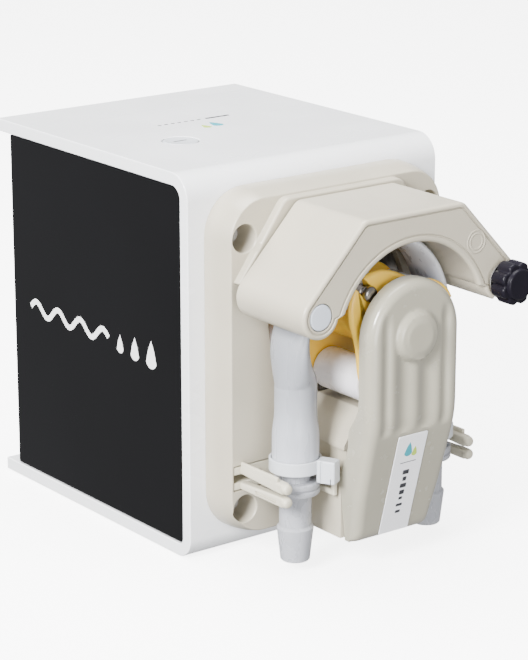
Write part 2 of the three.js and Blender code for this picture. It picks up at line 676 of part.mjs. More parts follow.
function pumpTube() {
  const stations = tubeStations();
  const last = stations.length - 1;
  const sides = 12;
  const profile = [];
  for (let i = 0; i <= last; i += 1) profile.push(new THREE.Vector2(2, i));
  for (let i = last; i >= 0; i -= 1) profile.push(new THREE.Vector2(1, i));
  profile.push(profile[0].clone());
  const geometry = new THREE.LatheGeometry(profile, sides);
  const at = geometry.getAttribute('position');
  for (let i = 0; i < at.count; i += 1) {
    const step = Math.round(at.getY(i));
    const here = stations[step];
    const before = stations[Math.max(step - 1, 0)];
    const after = stations[Math.min(step + 1, last)];
    const ends = step === 0 || step === last;
    const along = new THREE.Vector2(after.x - before.x, after.z - before.z).normalize();
    if (ends) along.set(0, step === 0 ? 1 : -1);
    const radius = Math.hypot(at.getX(i), at.getZ(i));
    const isOuter = radius > 1.5;
    const fitted = here.z < 58 ? 1.1 : 0;
    const wall = TUBE_RADIUS - TUBE_BORE;
    const halfAcross = isOuter ? here.half : Math.max(here.half - wall, 0.15) + fitted * 0.2;
    const flat = Math.sqrt(Math.max(2 * TUBE_RADIUS ** 2 - here.half ** 2, 0));
    const halfWide = here.half >= TUBE_RADIUS ? here.half : Math.min(flat, 10);
    const wide = isOuter ? halfWide : halfWide - wall + fitted * 0.2;
    const u = (at.getX(i) / radius) * halfAcross;
    const v = (at.getZ(i) / radius) * wide;
    at.setXYZ(i, here.x - along.y * u, TUBE_Y + v, here.z + along.x * u);
  }
  piece('pump_tube', solid(geometry), clear_rubber, head);
}

function barbsAndClamps() {
  for (const [side, s] of [['left', -1], ['right', 1]]) {
    const x = s * TUBE_X;
    const b = BARB;
    const profile = [
      [b.bore, b.low], [5.6, b.low], [7, b.widest], [b.stem, b.widest + 0.3], [b.stem, b.flange],
      [9.2, b.flange], [9.2, 33], [8.7, 33.3], [9.2, 33.6], [9.2, b.flangeTop], [5.5, b.flangeTop],
      [5.5, b.top - 5], [5.8, b.top - 5], [4.9, b.top], [b.bore, b.top], [b.bore, b.low],
    ];
    piece(`hose_barb_${side}`, turnedZ(profile, x, TUBE_Y, 18), barb_plastic, head);
    const low = 39.8;
    const high = 45;
    const ring = [[9.25, low], [10, low], [10, high], [9.25, high], [9.25, low]];
    const band = turnedZ(ring, x, TUBE_Y, 24);
    const [foot, crown] = [36.5, 45.5];
    const block = new THREE.BoxGeometry(7.4, 5.6, crown - foot);
    block.translate(-s * 13.3, 0, (crown + foot) / 2);
    block.rotateZ(s * radians(62));
    block.translate(x, TUBE_Y, 0);
    piece(`hose_clamp_${side}`, join(band, solid(block)), white_plastic, head);
  }
}

// A fork whose bar sits in the base's slot: two prongs outside the tube, a closed loop inside it.
function tubeClip(name, s) {
  const [low, high] = CLIP_Z;
  const across = (x0, x1) => (s < 0 ? [x0, x1] : [-x1, -x0]);
  const bar = box(...across(-49.3, -20.9), -13.7, -5.3, low, high);
  const prong = (z0, z1, tip) => {
    const arm = box(...across(-46.4, -42.8), -39.5, -13, z0, z1);
    return join(arm, rodY(2.1, -41.3, -38.2, s * 44.6, tip, 14));
  };
  const rib = box(...across(-46.4, -45.2), -36, BASE_FRONT - GAP, high - 0.2, high + 1.6);
  const loop = cut(
    box(...across(-22.9, -20.9), -40.4, -13, low, high),
    box(...across(-30, -20), -38.6, -14.5, low + 1.8, high - 1.8),
  );
  const lower = prong(low, low + 3.2, low + 2.1);
  const upper = prong(high - 3.4, high, high - 2.1);
  piece(name, join(bar, lower, upper, rib, loop), cream, head);
}

enclosure();
rearPanel();
electronics();
headBase();
fasteners();
motor();
rotor();
pressureArch();
lock();
frontCover();
pumpTube();
barbsAndClamps();
tubeClip('tube_clip_left', -1);
tubeClip('tube_clip_right', 1);

export default model;
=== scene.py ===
"""The looks of a bench-top peristaltic dosing pump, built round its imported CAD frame.

Shapes are drawn in millimetres, +Z up and the pump head facing -Y. Head pieces measure depth from
the enclosure's front face. place() turns a finished mesh into metres in the row frame.
"""

import json
import math

import bmesh
import bpy
from mathutils import Matrix, Vector


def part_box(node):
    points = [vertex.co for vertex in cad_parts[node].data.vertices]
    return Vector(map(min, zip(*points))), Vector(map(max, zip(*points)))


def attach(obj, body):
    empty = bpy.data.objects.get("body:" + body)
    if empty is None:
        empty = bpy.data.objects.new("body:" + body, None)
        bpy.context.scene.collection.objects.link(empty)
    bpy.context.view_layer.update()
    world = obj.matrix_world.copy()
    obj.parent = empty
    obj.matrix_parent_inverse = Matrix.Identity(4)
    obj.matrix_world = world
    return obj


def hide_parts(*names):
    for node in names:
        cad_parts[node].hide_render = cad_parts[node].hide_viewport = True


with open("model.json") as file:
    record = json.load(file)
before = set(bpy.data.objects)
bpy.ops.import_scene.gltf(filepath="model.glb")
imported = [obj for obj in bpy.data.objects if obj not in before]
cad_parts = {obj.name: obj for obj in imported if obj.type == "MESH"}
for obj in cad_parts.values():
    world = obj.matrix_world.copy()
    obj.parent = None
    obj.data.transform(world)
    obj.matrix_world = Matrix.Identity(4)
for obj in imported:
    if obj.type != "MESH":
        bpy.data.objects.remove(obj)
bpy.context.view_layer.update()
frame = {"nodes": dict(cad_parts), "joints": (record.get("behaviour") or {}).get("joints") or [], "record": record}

# ---- dimensions taken from the frame
MM = 0.001
JOINTS = {joint["name"]: joint for joint in frame["joints"]}


def box_mm(node):
    low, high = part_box(node)
    return low / MM, high / MM


def middle_mm(node):
    low, high = box_mm(node)
    return (low + high) / 2


def joint_mm(name):
    return Vector(JOINTS[name]["pos_m"]) / MM


WRAP_LOW, WRAP_HIGH = box_mm("enclosure_wrap")
HALF_WIDTH = WRAP_HIGH.x
HEIGHT = WRAP_HIGH.z
FRONT = WRAP_LOW.y
REAR = WRAP_HIGH.y
ROTOR_Z = joint_mm("rotor_spin").z
HINGE_X = -joint_mm("shoe_swing").x
HINGE_Z = joint_mm("shoe_swing").z
RANKS = ("first", "second", "third")
ROLLER_SPOTS = [joint_mm(f"{rank}_roller_spin") for rank in RANKS]
BUTTON_AT = middle_mm("power_button")
JACK_AT = middle_mm("power_jack")
TUBE_X = middle_mm("hose_barb_right").x
TUBE_Y = middle_mm("hose_barb_right").y - FRONT

# ---- dimensions of the shapes
GAP = 0.3
SHEET = 5.0
TOP_BEND = 10.0
BOTTOM_BEND = 8.0
PANEL_REAR = box_mm("rear_panel")[1].y

SWEEP = 30.0  # the circle the rollers' outsides run on
TRACK = 36.0  # the shoe's track
TUBE_RADIUS = 8.0
TUBE_BORE = 5.0
BASE_FRONT = -14.0
LEDGE_FRONT = -17.3
BLOCK_FRONT = -41.0
POCKET = 33.2
POCKET_FLOOR = -11.0
ARCH_BACK = -17.9
ARCH_FRONT = -58.0
END_RADIUS = 8.3
COVER_FRONT = -60.0
ROLLER_RADIUS = 8.0
ROLLER_BACK = -17.0
ROLLER_FRONT = -43.5
SHAFT_RADIUS = 3.0
PIN_RADIUS = 2.2
SCREW_X = 44.3
SCREW_Z = (22.0, 127.2)
SCREW_HOLE = 2.4
MOTOR_BOLT = 15.5
BOLT_HOLE = 1.8
MOTOR_NOSE = 11.4
BUTTON_HOLE = 7.4
SCREW_SPOTS = [(x, z) for z in SCREW_Z for x in (-SCREW_X, SCREW_X)]
BOLT_SPOTS = [(s * MOTOR_BOLT, ROTOR_Z + s * MOTOR_BOLT) for s in (-1, 1)]
CLIP_Z = (30.0, 39.4)
FAR = 300.0

# ---- mesh tools
AXES = {
    "X": lambda u, v, h: (h, u, v),
    "Y": lambda u, v, h: (u, h, v),
    "Z": lambda u, v, h: (u, v, h),
}


def to_mesh(bm):
    bmesh.ops.recalc_face_normals(bm, faces=bm.faces)
    mesh = bpy.data.meshes.new("shape")
    bm.to_mesh(mesh)
    bm.free()
    return mesh


def loft(rings, closed=False):
    """A skin over rings of points. A ring of one point is a pole; open rings end in flat caps."""
    bm = bmesh.new()
    made = [[bm.verts.new(point) for point in ring] for ring in rings]
    pairs = list(zip(made, made[1:]))
    if closed:
        pairs.append((made[-1], made[0]))
    for a, b in pairs:
        count = max(len(a), len(b))
        for i in range(count):
            j = (i + 1) % count
            corners = [a[i % len(a)], a[j % len(a)], b[j % len(b)], b[i % len(b)]]
            corners = list(dict.fromkeys(corners))
            if len(corners) > 2:
                bm.faces.new(corners)
    if not closed:
        for ring in (made[0], made[-1]):
            if len(ring) > 2:
                bm.faces.new(ring)
    return to_mesh(bm)


def prism(outline, start, end, axis="Y"):
    return loft([[AXES[axis](u, v, h) for u, v in outline] for h in (start, end)])


def shaped(outline, stations, axis="Y"):
    """An outline that changes along an axis. A station is a height and what outline() takes."""
    return loft([[AXES[axis](u, v, s[0]) for u, v in outline(*s[1:])] for s in stations])


def lathe(profile, axis, at=(0, 0), steps=64, closed=False):
    """Turns a (radius, height) profile about a line along an axis."""
    rings = []
    for radius, height in profile:
        if radius == 0:
            rings.append([AXES[axis](at[0], at[1], height)])
            continue
        turns = [2 * math.pi * i / steps for i in range(steps)]
        rings.append(
            [
                AXES[axis](at[0] + radius * math.cos(t), at[1] + radius * math.sin(t), height)
                for t in turns
            ]
        )
    return loft(rings, closed)


def rod(radius, start, end, at, axis="Y", steps=48):
    return lathe([(0, start), (radius, start), (radius, end), (0, end)], axis, at, steps)


def block(x, y, z):
    """A box from three (low, high) pairs."""
    outline = [(x[0], z[0]), (x[1], z[0]), (x[1], z[1]), (x[0], z[1])]
    return prism(outline, y[0], y[1])


def arc(u, v, radius, start, end, steps=12):
    points = []
    for i in range(steps + 1):
        t = math.radians(start + (end - start) * i / steps)
        points.append((u + radius * math.cos(t), v + radius * math.sin(t)))
    return points


def rounded(points, radii, steps):
    """A closed outline with its corners rounded, with one radius for each."""
    out = []
    for i, (point, radius) in enumerate(zip(points, radii)):
        if radius == 0:
            out.append(point)
            continue
        corner = Vector(point)
        a = (Vector(points[i - 1]) - corner).normalized()
        b = (Vector(points[(i + 1) % len(points)]) - corner).normalized()
        half = math.acos(a.dot(b)) / 2
        reach = radius / math.tan(half)
        centre = corner + (a + b).normalized() * (radius / math.sin(half))
        spoke = corner + a * reach - centre
        turn = math.copysign(math.pi - 2 * half, spoke.cross(corner + b * reach - centre))
        for k in range(steps + 1):
            out.append(tuple(centre + Matrix.Rotation(turn * k / steps, 2) @ spoke))
    return out


def polar(steps, radius_at, x, z):
    """A closed outline whose radius depends on the angle."""
    turns = [2 * math.pi * i / steps for i in range(steps)]
    return [(x + radius_at(t) * math.cos(t), z + radius_at(t) * math.sin(t)) for t in turns]


def rounded_rect(x0, x1, z0, z1, radius, inset=0.0, steps=10):
    r = radius - inset
    return (
        arc(x1 - radius, z0 + radius, r, -90, 0, steps)
        + arc(x1 - radius, z1 - radius, r, 0, 90, steps)
        + arc(x0 + radius, z1 - radius, r, 90, 180, steps)
        + arc(x0 + radius, z0 + radius, r, 180, 270, steps)
    )


def rolled(face, radius, inset=0.0, inward=1, steps=5):
    """Stations that round an edge off into a face. inward points from the face into the solid."""
    stations = []
    for i in range(steps + 1):
        t = math.pi / 2 * i / steps
        stations.append(
            (face + inward * radius * (1 - math.sin(t)), inset + radius * (1 - math.cos(t)))
        )
    return stations


def merged(meshes):
    bm = bmesh.new()
    for mesh in meshes:
        bm.from_mesh(mesh)
    return to_mesh(bm)


def new_object(name, data):
    obj = bpy.data.objects.new(name, data)
    bpy.context.scene.collection.objects.link(obj)
    return obj


def through_modifier(mesh, kind, **settings):
    obj = new_object("tool", mesh)
    modifier = obj.modifiers.new("tool", kind)
    for key, value in settings.items():
        setattr(modifier, key, value)
    graph = bpy.context.evaluated_depsgraph_get()
    result = bpy.data.meshes.new_from_object(obj.evaluated_get(graph))
    bpy.data.objects.remove(obj)
    return result


def combined(mesh, tools, **settings):
    for tool in tools:
        other = new_object("cutter", tool)
        mesh = through_modifier(mesh, "BOOLEAN", object=other, **settings)
        bpy.data.objects.remove(other)
    return mesh


def cut(mesh, *tools, solver="EXACT"):
    return combined(mesh, tools, operation="DIFFERENCE", solver=solver)


def join(mesh, *tools):
    return combined(mesh, tools, operation="UNION", solver="EXACT")


def eased(mesh, width, segments=2, angle=35):
    """Rounds the mesh's sharp edges."""
    return through_modifier(
        mesh,
        "BEVEL",
        width=width,
        segments=segments,
        limit_method="ANGLE",
        angle_limit=math.radians(angle),
        use_clamp_overlap=False,
        miter_outer="MITER_ARC",
    )


def mirrored(mesh):
    copy = mesh.copy()
    copy.transform(Matrix.Scale(-1, 4, (1, 0, 0)))
    copy.flip_normals()
    return copy


ROW = Vector((0, 0, 0))
HEAD = Vector((0, FRONT * MM, 0))
SHARP = 38


def place(name, mesh, material, body, replaces=(), origin=HEAD):
    """Makes a finished mesh in millimetres into a piece of the model."""
    mesh.transform(Matrix.Translation(origin) @ Matrix.Scale(MM, 4))
    mesh.shade_smooth()
    mesh.set_sharp_from_angle(angle=math.radians(SHARP))
    mesh.materials.clear()
    mesh.materials.append(material)
    mesh = through_modifier(mesh, "WEIGHTED_NORMAL", keep_sharp=True)
    mesh.name = name
    obj = new_object(name, mesh)
    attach(obj, body)
    if replaces:
        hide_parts(*replaces)
    return obj


# ---- materials
class Finish:
    """A node material: a shader, and helpers that add the textures that feed it."""

    def __init__(self, name):
        self.material = bpy.data.materials.new(name)
        self.material.use_nodes = True
        self.tree = self.material.node_tree
        self.shader = self.tree.nodes["Principled BSDF"]
        self.coords = self.node("ShaderNodeTexCoord").outputs["Object"]

    def node(self, kind, **settings):
        made = self.tree.nodes.new(kind)
        for key, value in settings.items():
            setattr(made, key, value)
        return made

    def link(self, source, target):
        self.tree.links.new(source, target)

    def stretched(self, scale):
        mapping = self.node("ShaderNodeMapping")
        mapping.inputs["Scale"].default_value = scale
        self.link(self.coords, mapping.inputs["Vector"])
        return mapping.outputs["Vector"]

    def noise(self, scale, detail=3.0, vector=None):
        noise = self.node("ShaderNodeTexNoise")
        noise.inputs["Scale"].default_value = scale
        noise.inputs["Detail"].default_value = detail
        self.link(vector or self.coords, noise.inputs["Vector"])
        return noise.outputs["Fac"]

    def spread(self, value, low, high, to_low, to_high):
        scaled = self.node("ShaderNodeMapRange")
        for key, number in zip(
            ("From Min", "From Max", "To Min", "To Max"), (low, high, to_low, to_high)
        ):
            scaled.inputs[key].default_value = number
        self.link(value, scaled.inputs["Value"])
        return scaled.outputs["Result"]

    def mix(self, factor, a, b):
        mixed = self.node("ShaderNodeMix", data_type="RGBA")
        colours = [socket for socket in mixed.inputs if socket.type == "RGBA"]
        self.link(factor, mixed.inputs["Factor"])
        for value, socket in zip((a, b), colours):
            if isinstance(value, tuple):
                socket.default_value = (*value, 1)
            else:
                self.link(value, socket)
        return [socket for socket in mixed.outputs if socket.type == "RGBA"][0]

    def edges(self, strength):
        """Where the surface turns outwards sharply."""
        pointed = self.node("ShaderNodeNewGeometry").outputs["Pointiness"]
        return self.spread(pointed, 0.52, 0.62, 0, strength)

    def corners(self, distance, strength):
        """Where the surface is hidden: a mask for painted shade in corners and crevices."""
        hidden = self.node("ShaderNodeAmbientOcclusion", samples=6)
        hidden.inputs["Distance"].default_value = distance
        return self.spread(hidden.outputs["AO"], 0.35, 0.9, strength, 0)

    def bump(self, height, strength, distance, below=None):
        bump = self.node("ShaderNodeBump")
        bump.inputs["Strength"].default_value = strength
        bump.inputs["Distance"].default_value = distance
        self.link(height, bump.inputs["Height"])
        if below:
            self.link(below, bump.inputs["Normal"])
        return bump.outputs["Normal"]

    def feed(self, socket, source):
        self.link(source, self.shader.inputs[socket])

    def set(self, **values):
        for key, value in values.items():
            self.shader.inputs[key.replace("_", " ")].default_value = value


def shade(color, factor):
    return tuple(channel * factor for channel in color)


def paler(color, factor, lift=0.0):
    return tuple(min(1, channel * factor + lift) for channel in color)


def plastic(name, color, roughness, vary=0.05, grain=1400.0, corner_shade=0.25, wear_and_highlight=0.25, **values):
    """Moulded plastic: cloudy colour, paler edges (wear, partly painted highlight), painted shade in corners, fine
    moulded grain.
    """
    finish = Finish(name)
    cloud = finish.noise(38.0, 4.0)
    tone = finish.mix(
        finish.spread(cloud, 0.3, 0.7, 0, 1), shade(color, 1 - vary), shade(color, 1 + vary / 2)
    )
    # Paler sharp edges: edge wear, partly a painted highlight.
    tone = finish.mix(finish.edges(wear_and_highlight), tone, paler(color, 1.16, 0.02))
    # Painted shade: darker where corners and crevices are hidden from the light.
    tone = finish.mix(finish.corners(0.006, corner_shade), tone, shade(color, 0.55))
    finish.feed("Base Color", tone)
    smear = finish.noise(160.0, 5.0)
    finish.feed("Roughness", finish.spread(smear, 0.3, 0.7, roughness * 0.85, roughness * 1.18))
    waves = finish.bump(finish.noise(90.0, 1.0), 0.25, 0.00006)
    fine = finish.bump(finish.noise(grain, 2.0), 0.18, 0.00004, waves)
    finish.feed("Normal", fine)
    finish.set(**values)
    return finish.material


def metal(name, color, roughness, lines=(1, 1, 1), dark=0.35, **values):
    """Turned or brushed metal: fine lines along one direction, with painted shade in the corners."""
    finish = Finish(name)
    streaks = finish.noise(900.0, 3.0, finish.stretched(lines))
    stain = finish.noise(120.0, 4.0)
    tone = finish.mix(finish.spread(streaks, 0.3, 0.7, 0, 1), shade(color, 0.86), shade(color, 1.05))
    tone = finish.mix(finish.spread(stain, 0.55, 0.75, 0, 0.3), tone, shade(color, 0.7))
    # Painted shade: darker where corners and crevices are hidden from the light.
    tone = finish.mix(finish.corners(0.003, dark), tone, shade(color, 0.3))
    finish.feed("Base Color", tone)
    finish.feed("Roughness", finish.spread(streaks, 0.3, 0.7, roughness * 0.75, roughness * 1.3))
    finish.feed("Normal", finish.bump(streaks, 0.25, 0.00003))
    finish.set(Metallic=1.0, **values)
    return finish.material


def gloss_sheet(name, color, roughness, vary, smudge, **values):
    """Polished sheet: deep even colour, faint smudges in its gloss and a slight waviness."""
    finish = Finish(name)
    cloud = finish.noise(14.0, 3.0)
    tone = finish.mix(
        finish.spread(cloud, 0.3, 0.7, 0, 1), shade(color, 1 - vary), shade(color, 1 + vary)
    )
    # Paler sharp edges: edge wear, partly a painted highlight.
    tone = finish.mix(finish.edges(0.3), tone, paler(color, 1.1, 0.008))
    specks = finish.spread(finish.noise(1900.0, 2.0), 0.72, 0.8, 0, 0.15)
    tone = finish.mix(specks, tone, paler(color, 0.8, 0.04))
    finish.feed("Base Color", tone)
    smear = finish.noise(22.0, 6.0, finish.stretched((1, 1, 2.4)))
    finish.feed("Roughness", finish.spread(smear, 0.42, 0.68, roughness, roughness + smudge))
    finish.feed("Normal", finish.bump(finish.noise(30.0, 1.0), 0.12, 0.0001))
    finish.set(**values)
    return finish.material


def clear(name, color, roughness, streak, **values):
    """Milky see-through plastic or rubber, drawn along Z, with faint flow lines.

    It is darker higher up, a painted shadow under the shoe, and paler low down, where one wall lies inside
    another. Painted light makes it paler where it is pressed flat inside the shoe, and its sharp edges are paler,
    partly a painted highlight.
    """
    finish = Finish(name)
    flow = finish.noise(220.0, 3.0, finish.stretched((1, 1, streak)))
    level = finish.node("ShaderNodeSeparateXYZ")
    finish.link(finish.coords, level.inputs["Vector"])
    # Darker higher up: a painted shadow under the shoe. Paler low down, where one wall lies inside another.
    depth = finish.spread(level.outputs["Z"], 0.046, 0.074, 1, 0)
    tone = finish.mix(depth, shade(color, 0.6), color)
    # Painted light: paler where the tube is pressed flat inside the shoe.
    painted_light_in_shoe = finish.spread(level.outputs["Z"], 0.096, 0.110, 0, 1)
    tone = finish.mix(painted_light_in_shoe, tone, paler(color, 1.55))
    tone = finish.mix(finish.spread(flow, 0.3, 0.7, 0.12, 0), tone, shade(color, 0.7))
    # Paler sharp edges, partly a painted highlight.
    tone = finish.mix(finish.edges(0.3), tone, paler(color, 1.06, 0.03))
    finish.feed("Base Color", tone)
    finish.feed("Roughness", finish.spread(flow, 0.3, 0.7, roughness * 0.8, roughness * 1.2))
    finish.feed("Normal", finish.bump(flow, 0.15, 0.00002))
    finish.set(Subsurface_Scale=0.003, Subsurface_Radius=(1, 1, 1), **values)
    return finish.material


BEIGE = plastic(
    "moulded_beige", (0.475, 0.434, 0.344), 0.34, Coat_Weight=0.2, Coat_Roughness=0.25,
)
GLOSS_BEIGE = plastic(
    "polished_beige", (0.352, 0.332, 0.262), 0.24, grain=700.0, corner_shade=0.15,
    Coat_Weight=0.6, Coat_Roughness=0.08,
)
CREAM = plastic("moulded_cream", (0.62, 0.58, 0.46), 0.4, corner_shade=0.4)
AMBER = plastic(
    "moulded_amber", (1.0, 0.63, 0.07), 0.36, vary=0.06,
    Subsurface_Weight=0.1, Subsurface_Scale=0.002,
)
ROLLER_WHITE = plastic("turned_white", (0.86, 0.84, 0.88), 0.28, grain=500.0, wear_and_highlight=0.1, corner_shade=0.12)
WHITE_PLASTIC = plastic("moulded_white", (0.58, 0.605, 0.64), 0.36, corner_shade=0.12)
PALE_BLUE = plastic("moulded_pale_blue", (0.56, 0.60, 0.67), 0.4, corner_shade=0.2)
KNOB_BLACK = plastic(
    "moulded_black", (0.008, 0.007, 0.011), 0.28, vary=0.2, wear_and_highlight=0.2, corner_shade=0.0,
    Specular_IOR_Level=0.09,
)
DARK_PLASTIC = plastic("matte_black", (0.02, 0.02, 0.024), 0.45, vary=0.15, wear_and_highlight=0.3)
WHITE_SHEET = gloss_sheet("white_acrylic", (0.89, 0.90, 0.92), 0.22, 0.012, 0.12, Coat_Weight=0.3)
BLACK_SHEET = gloss_sheet(
    "black_acrylic", (0.003, 0.003, 0.0035), 0.1, 0.1, 0.1, Specular_IOR_Level=0.11,
)
LABEL_FILM = gloss_sheet("label_film", (0.90, 0.90, 0.93), 0.3, 0.01, 0.1)
STEEL = metal("turned_steel", (0.60, 0.585, 0.56), 0.22, (1, 0.08, 1))
DARK_STEEL = metal("ground_steel", (0.30, 0.28, 0.26), 0.22, (1, 1, 0.1))
# Zinc darkened past its own colour, with strong corner darkening: painted shade, so the screws deep in the base's
# recesses look shadowed.
SHADED_ZINC = metal("darkened_zinc_plate", (0.45, 0.45, 0.46), 0.35, (1, 0.2, 1), 0.6)
ALUMINIUM = metal("cast_aluminium", (0.66, 0.66, 0.67), 0.42)
LAMINATIONS = metal("laminations", (0.10, 0.10, 0.105), 0.5, (0.05, 4, 0.05))
BOARD_GREEN = plastic("solder_mask", (0.02, 0.12, 0.05), 0.3, vary=0.25, grain=300.0)
SILICONE = clear(
    "clear_silicone", (0.54, 0.56, 0.61), 0.3, 0.12,
    Transmission_Weight=0.08, IOR=1.41, Subsurface_Weight=0.3,
)
CLEAR_PLASTIC = clear(
    "natural_polypropylene", (0.46, 0.47, 0.505), 0.28, 0.5,
    Transmission_Weight=0.15, IOR=1.45, Subsurface_Weight=0.4,
)
INKS = {
    "white": ((0.88, 0.88, 0.88), 0.35, 0.03),
    "dark": ((0.02, 0.02, 0.025), 0.4, 0.1),
    "teal": ((0.03, 0.34, 0.42), 0.35, 0.1),
    "lime": ((0.45, 0.60, 0.08), 0.35, 0.1),
}
PRINTS = {
    ink: plastic(f"print_{ink}", *look, wear_and_highlight=0.0, corner_shade=0.0) for ink, look in INKS.items()
}


# ---- enclosure
def bent(inset, back):
    """The sheet's side view from its underside round the front to its top, in Y and Z."""
    return (
        [(back, inset)]
        + arc(FRONT + BOTTOM_BEND, BOTTOM_BEND, BOTTOM_BEND - inset, 270, 180)
        + arc(FRONT + TOP_BEND, HEIGHT - TOP_BEND, TOP_BEND - inset, 180, 90)
        + [(back, HEIGHT - inset)]
    )


def enclosure():
    outline = bent(0, REAR) + bent(SHEET, REAR)[::-1]
    wrap = prism(outline, -HALF_WIDTH, HALF_WIDTH, "X")
    spots = [(MOTOR_NOSE, (0, ROTOR_Z))]
    spots += [(SCREW_HOLE, at) for at in SCREW_SPOTS] + [(BOLT_HOLE, at) for at in BOLT_SPOTS]
    holes = [rod(radius, FRONT - 1, FRONT + SHEET + 1, at) for radius, at in spots]
    button_hole = rod(BUTTON_HOLE, HEIGHT - SHEET - 1, HEIGHT + 1, BUTTON_AT.xy, "Z")
    wrap = eased(cut(wrap, merged(holes), button_hole), 0.45, 3)
    place("sheet_wrap", wrap, WHITE_SHEET, "root", ["enclosure_wrap"], ROW)

    for side in ("left", "right"):
        node = f"{side}_side_panel"
        low, high = box_mm(node)
        panel = eased(prism(bent(SHEET + GAP, PANEL_REAR), low.x, high.x, "X"), 0.7, 3)
        place(f"{side}_panel", panel, BLACK_SHEET, "root", [node], ROW)


def rear_wall():
    low, high = box_mm("rear_panel")
    wall = block((low.x, high.x), (low.y, high.y), (low.z, high.z))
    screws = [f"rear_screw_{i}" for i in range(1, 5)]
    holes = [rod(5.9, low.y - 1, high.y + 1, JACK_AT.xz)]
    holes += [rod(BOLT_HOLE, low.y - 1, high.y + 1, middle_mm(name).xz) for name in screws]
    wall = eased(cut(wall, merged(holes)), 0.5, 3)
    place("rear_wall", wall, BLACK_SHEET, "root", ["rear_panel"], ROW)

    for name in screws:
        at = middle_mm(name).xz
        tip, face = (corner.y for corner in box_mm(name))
        profile = [(0, face), (1.6, face), (2.4, face - 0.35), (2.8, face - 1.8)]
        profile += [(1.4, face - 1.8), (1.4, tip + 0.6), (0.9, tip), (0, tip)]
        key = [(0, face + 1), (0.95, face + 1), (0.95, face - 1.1), (0, face - 1.4)]
        screw = cut(lathe(profile, "Y", at, 40), lathe(key, "Y", at, 6))
        place(f"{name}_turned", screw, STEEL, "root", [name], ROW)

    at = JACK_AT.xz
    nose = high.y + 1.2
    inner = low.y - 10
    barrel = lathe(
        [(0, inner), (5.6, inner), (5.6, high.y + GAP), (7.2, high.y + GAP)]
        + [(7.2, nose - 0.5), (6.7, nose), (0, nose)],
        "Y", at, 64,
    )
    profile = [(0, nose + 1), (3.9, nose + 1), (3.4, nose - 0.5), (3.4, inner + 4), (0, inner + 4)]
    bore = lathe(profile, "Y", at, 48)
    nut = rod(7.2, low.y - 3, low.y - GAP, at, steps=6)
    profile = [(0, inner + 3), (1.1, inner + 3), (1.1, nose - 0.9), (0.5, nose - 0.3)]
    contact = lathe(profile + [(0, nose - 0.3)], "Y", at, 24)
    jack = join(cut(barrel, bore), nut, contact)
    place("power_socket", jack, DARK_PLASTIC, "root", ["power_jack"], ROW)


def button():
    at = BUTTON_AT.xy
    top = HEIGHT
    rim = HEIGHT - SHEET - GAP
    profile = [(0, top - 0.35), (4.6, top - 0.3), (5.4, top - 0.05)]
    profile += arc(6.5, top - 0.5, 0.5, 90, 0, 5)
    profile += [(7, rim), (9, rim), (9, rim - 1.6), (0, rim - 1.6)]
    place("button_cap", lathe(profile, "Z", at, 72), WHITE_PLASTIC, "button",
          ["power_button"], ROW)


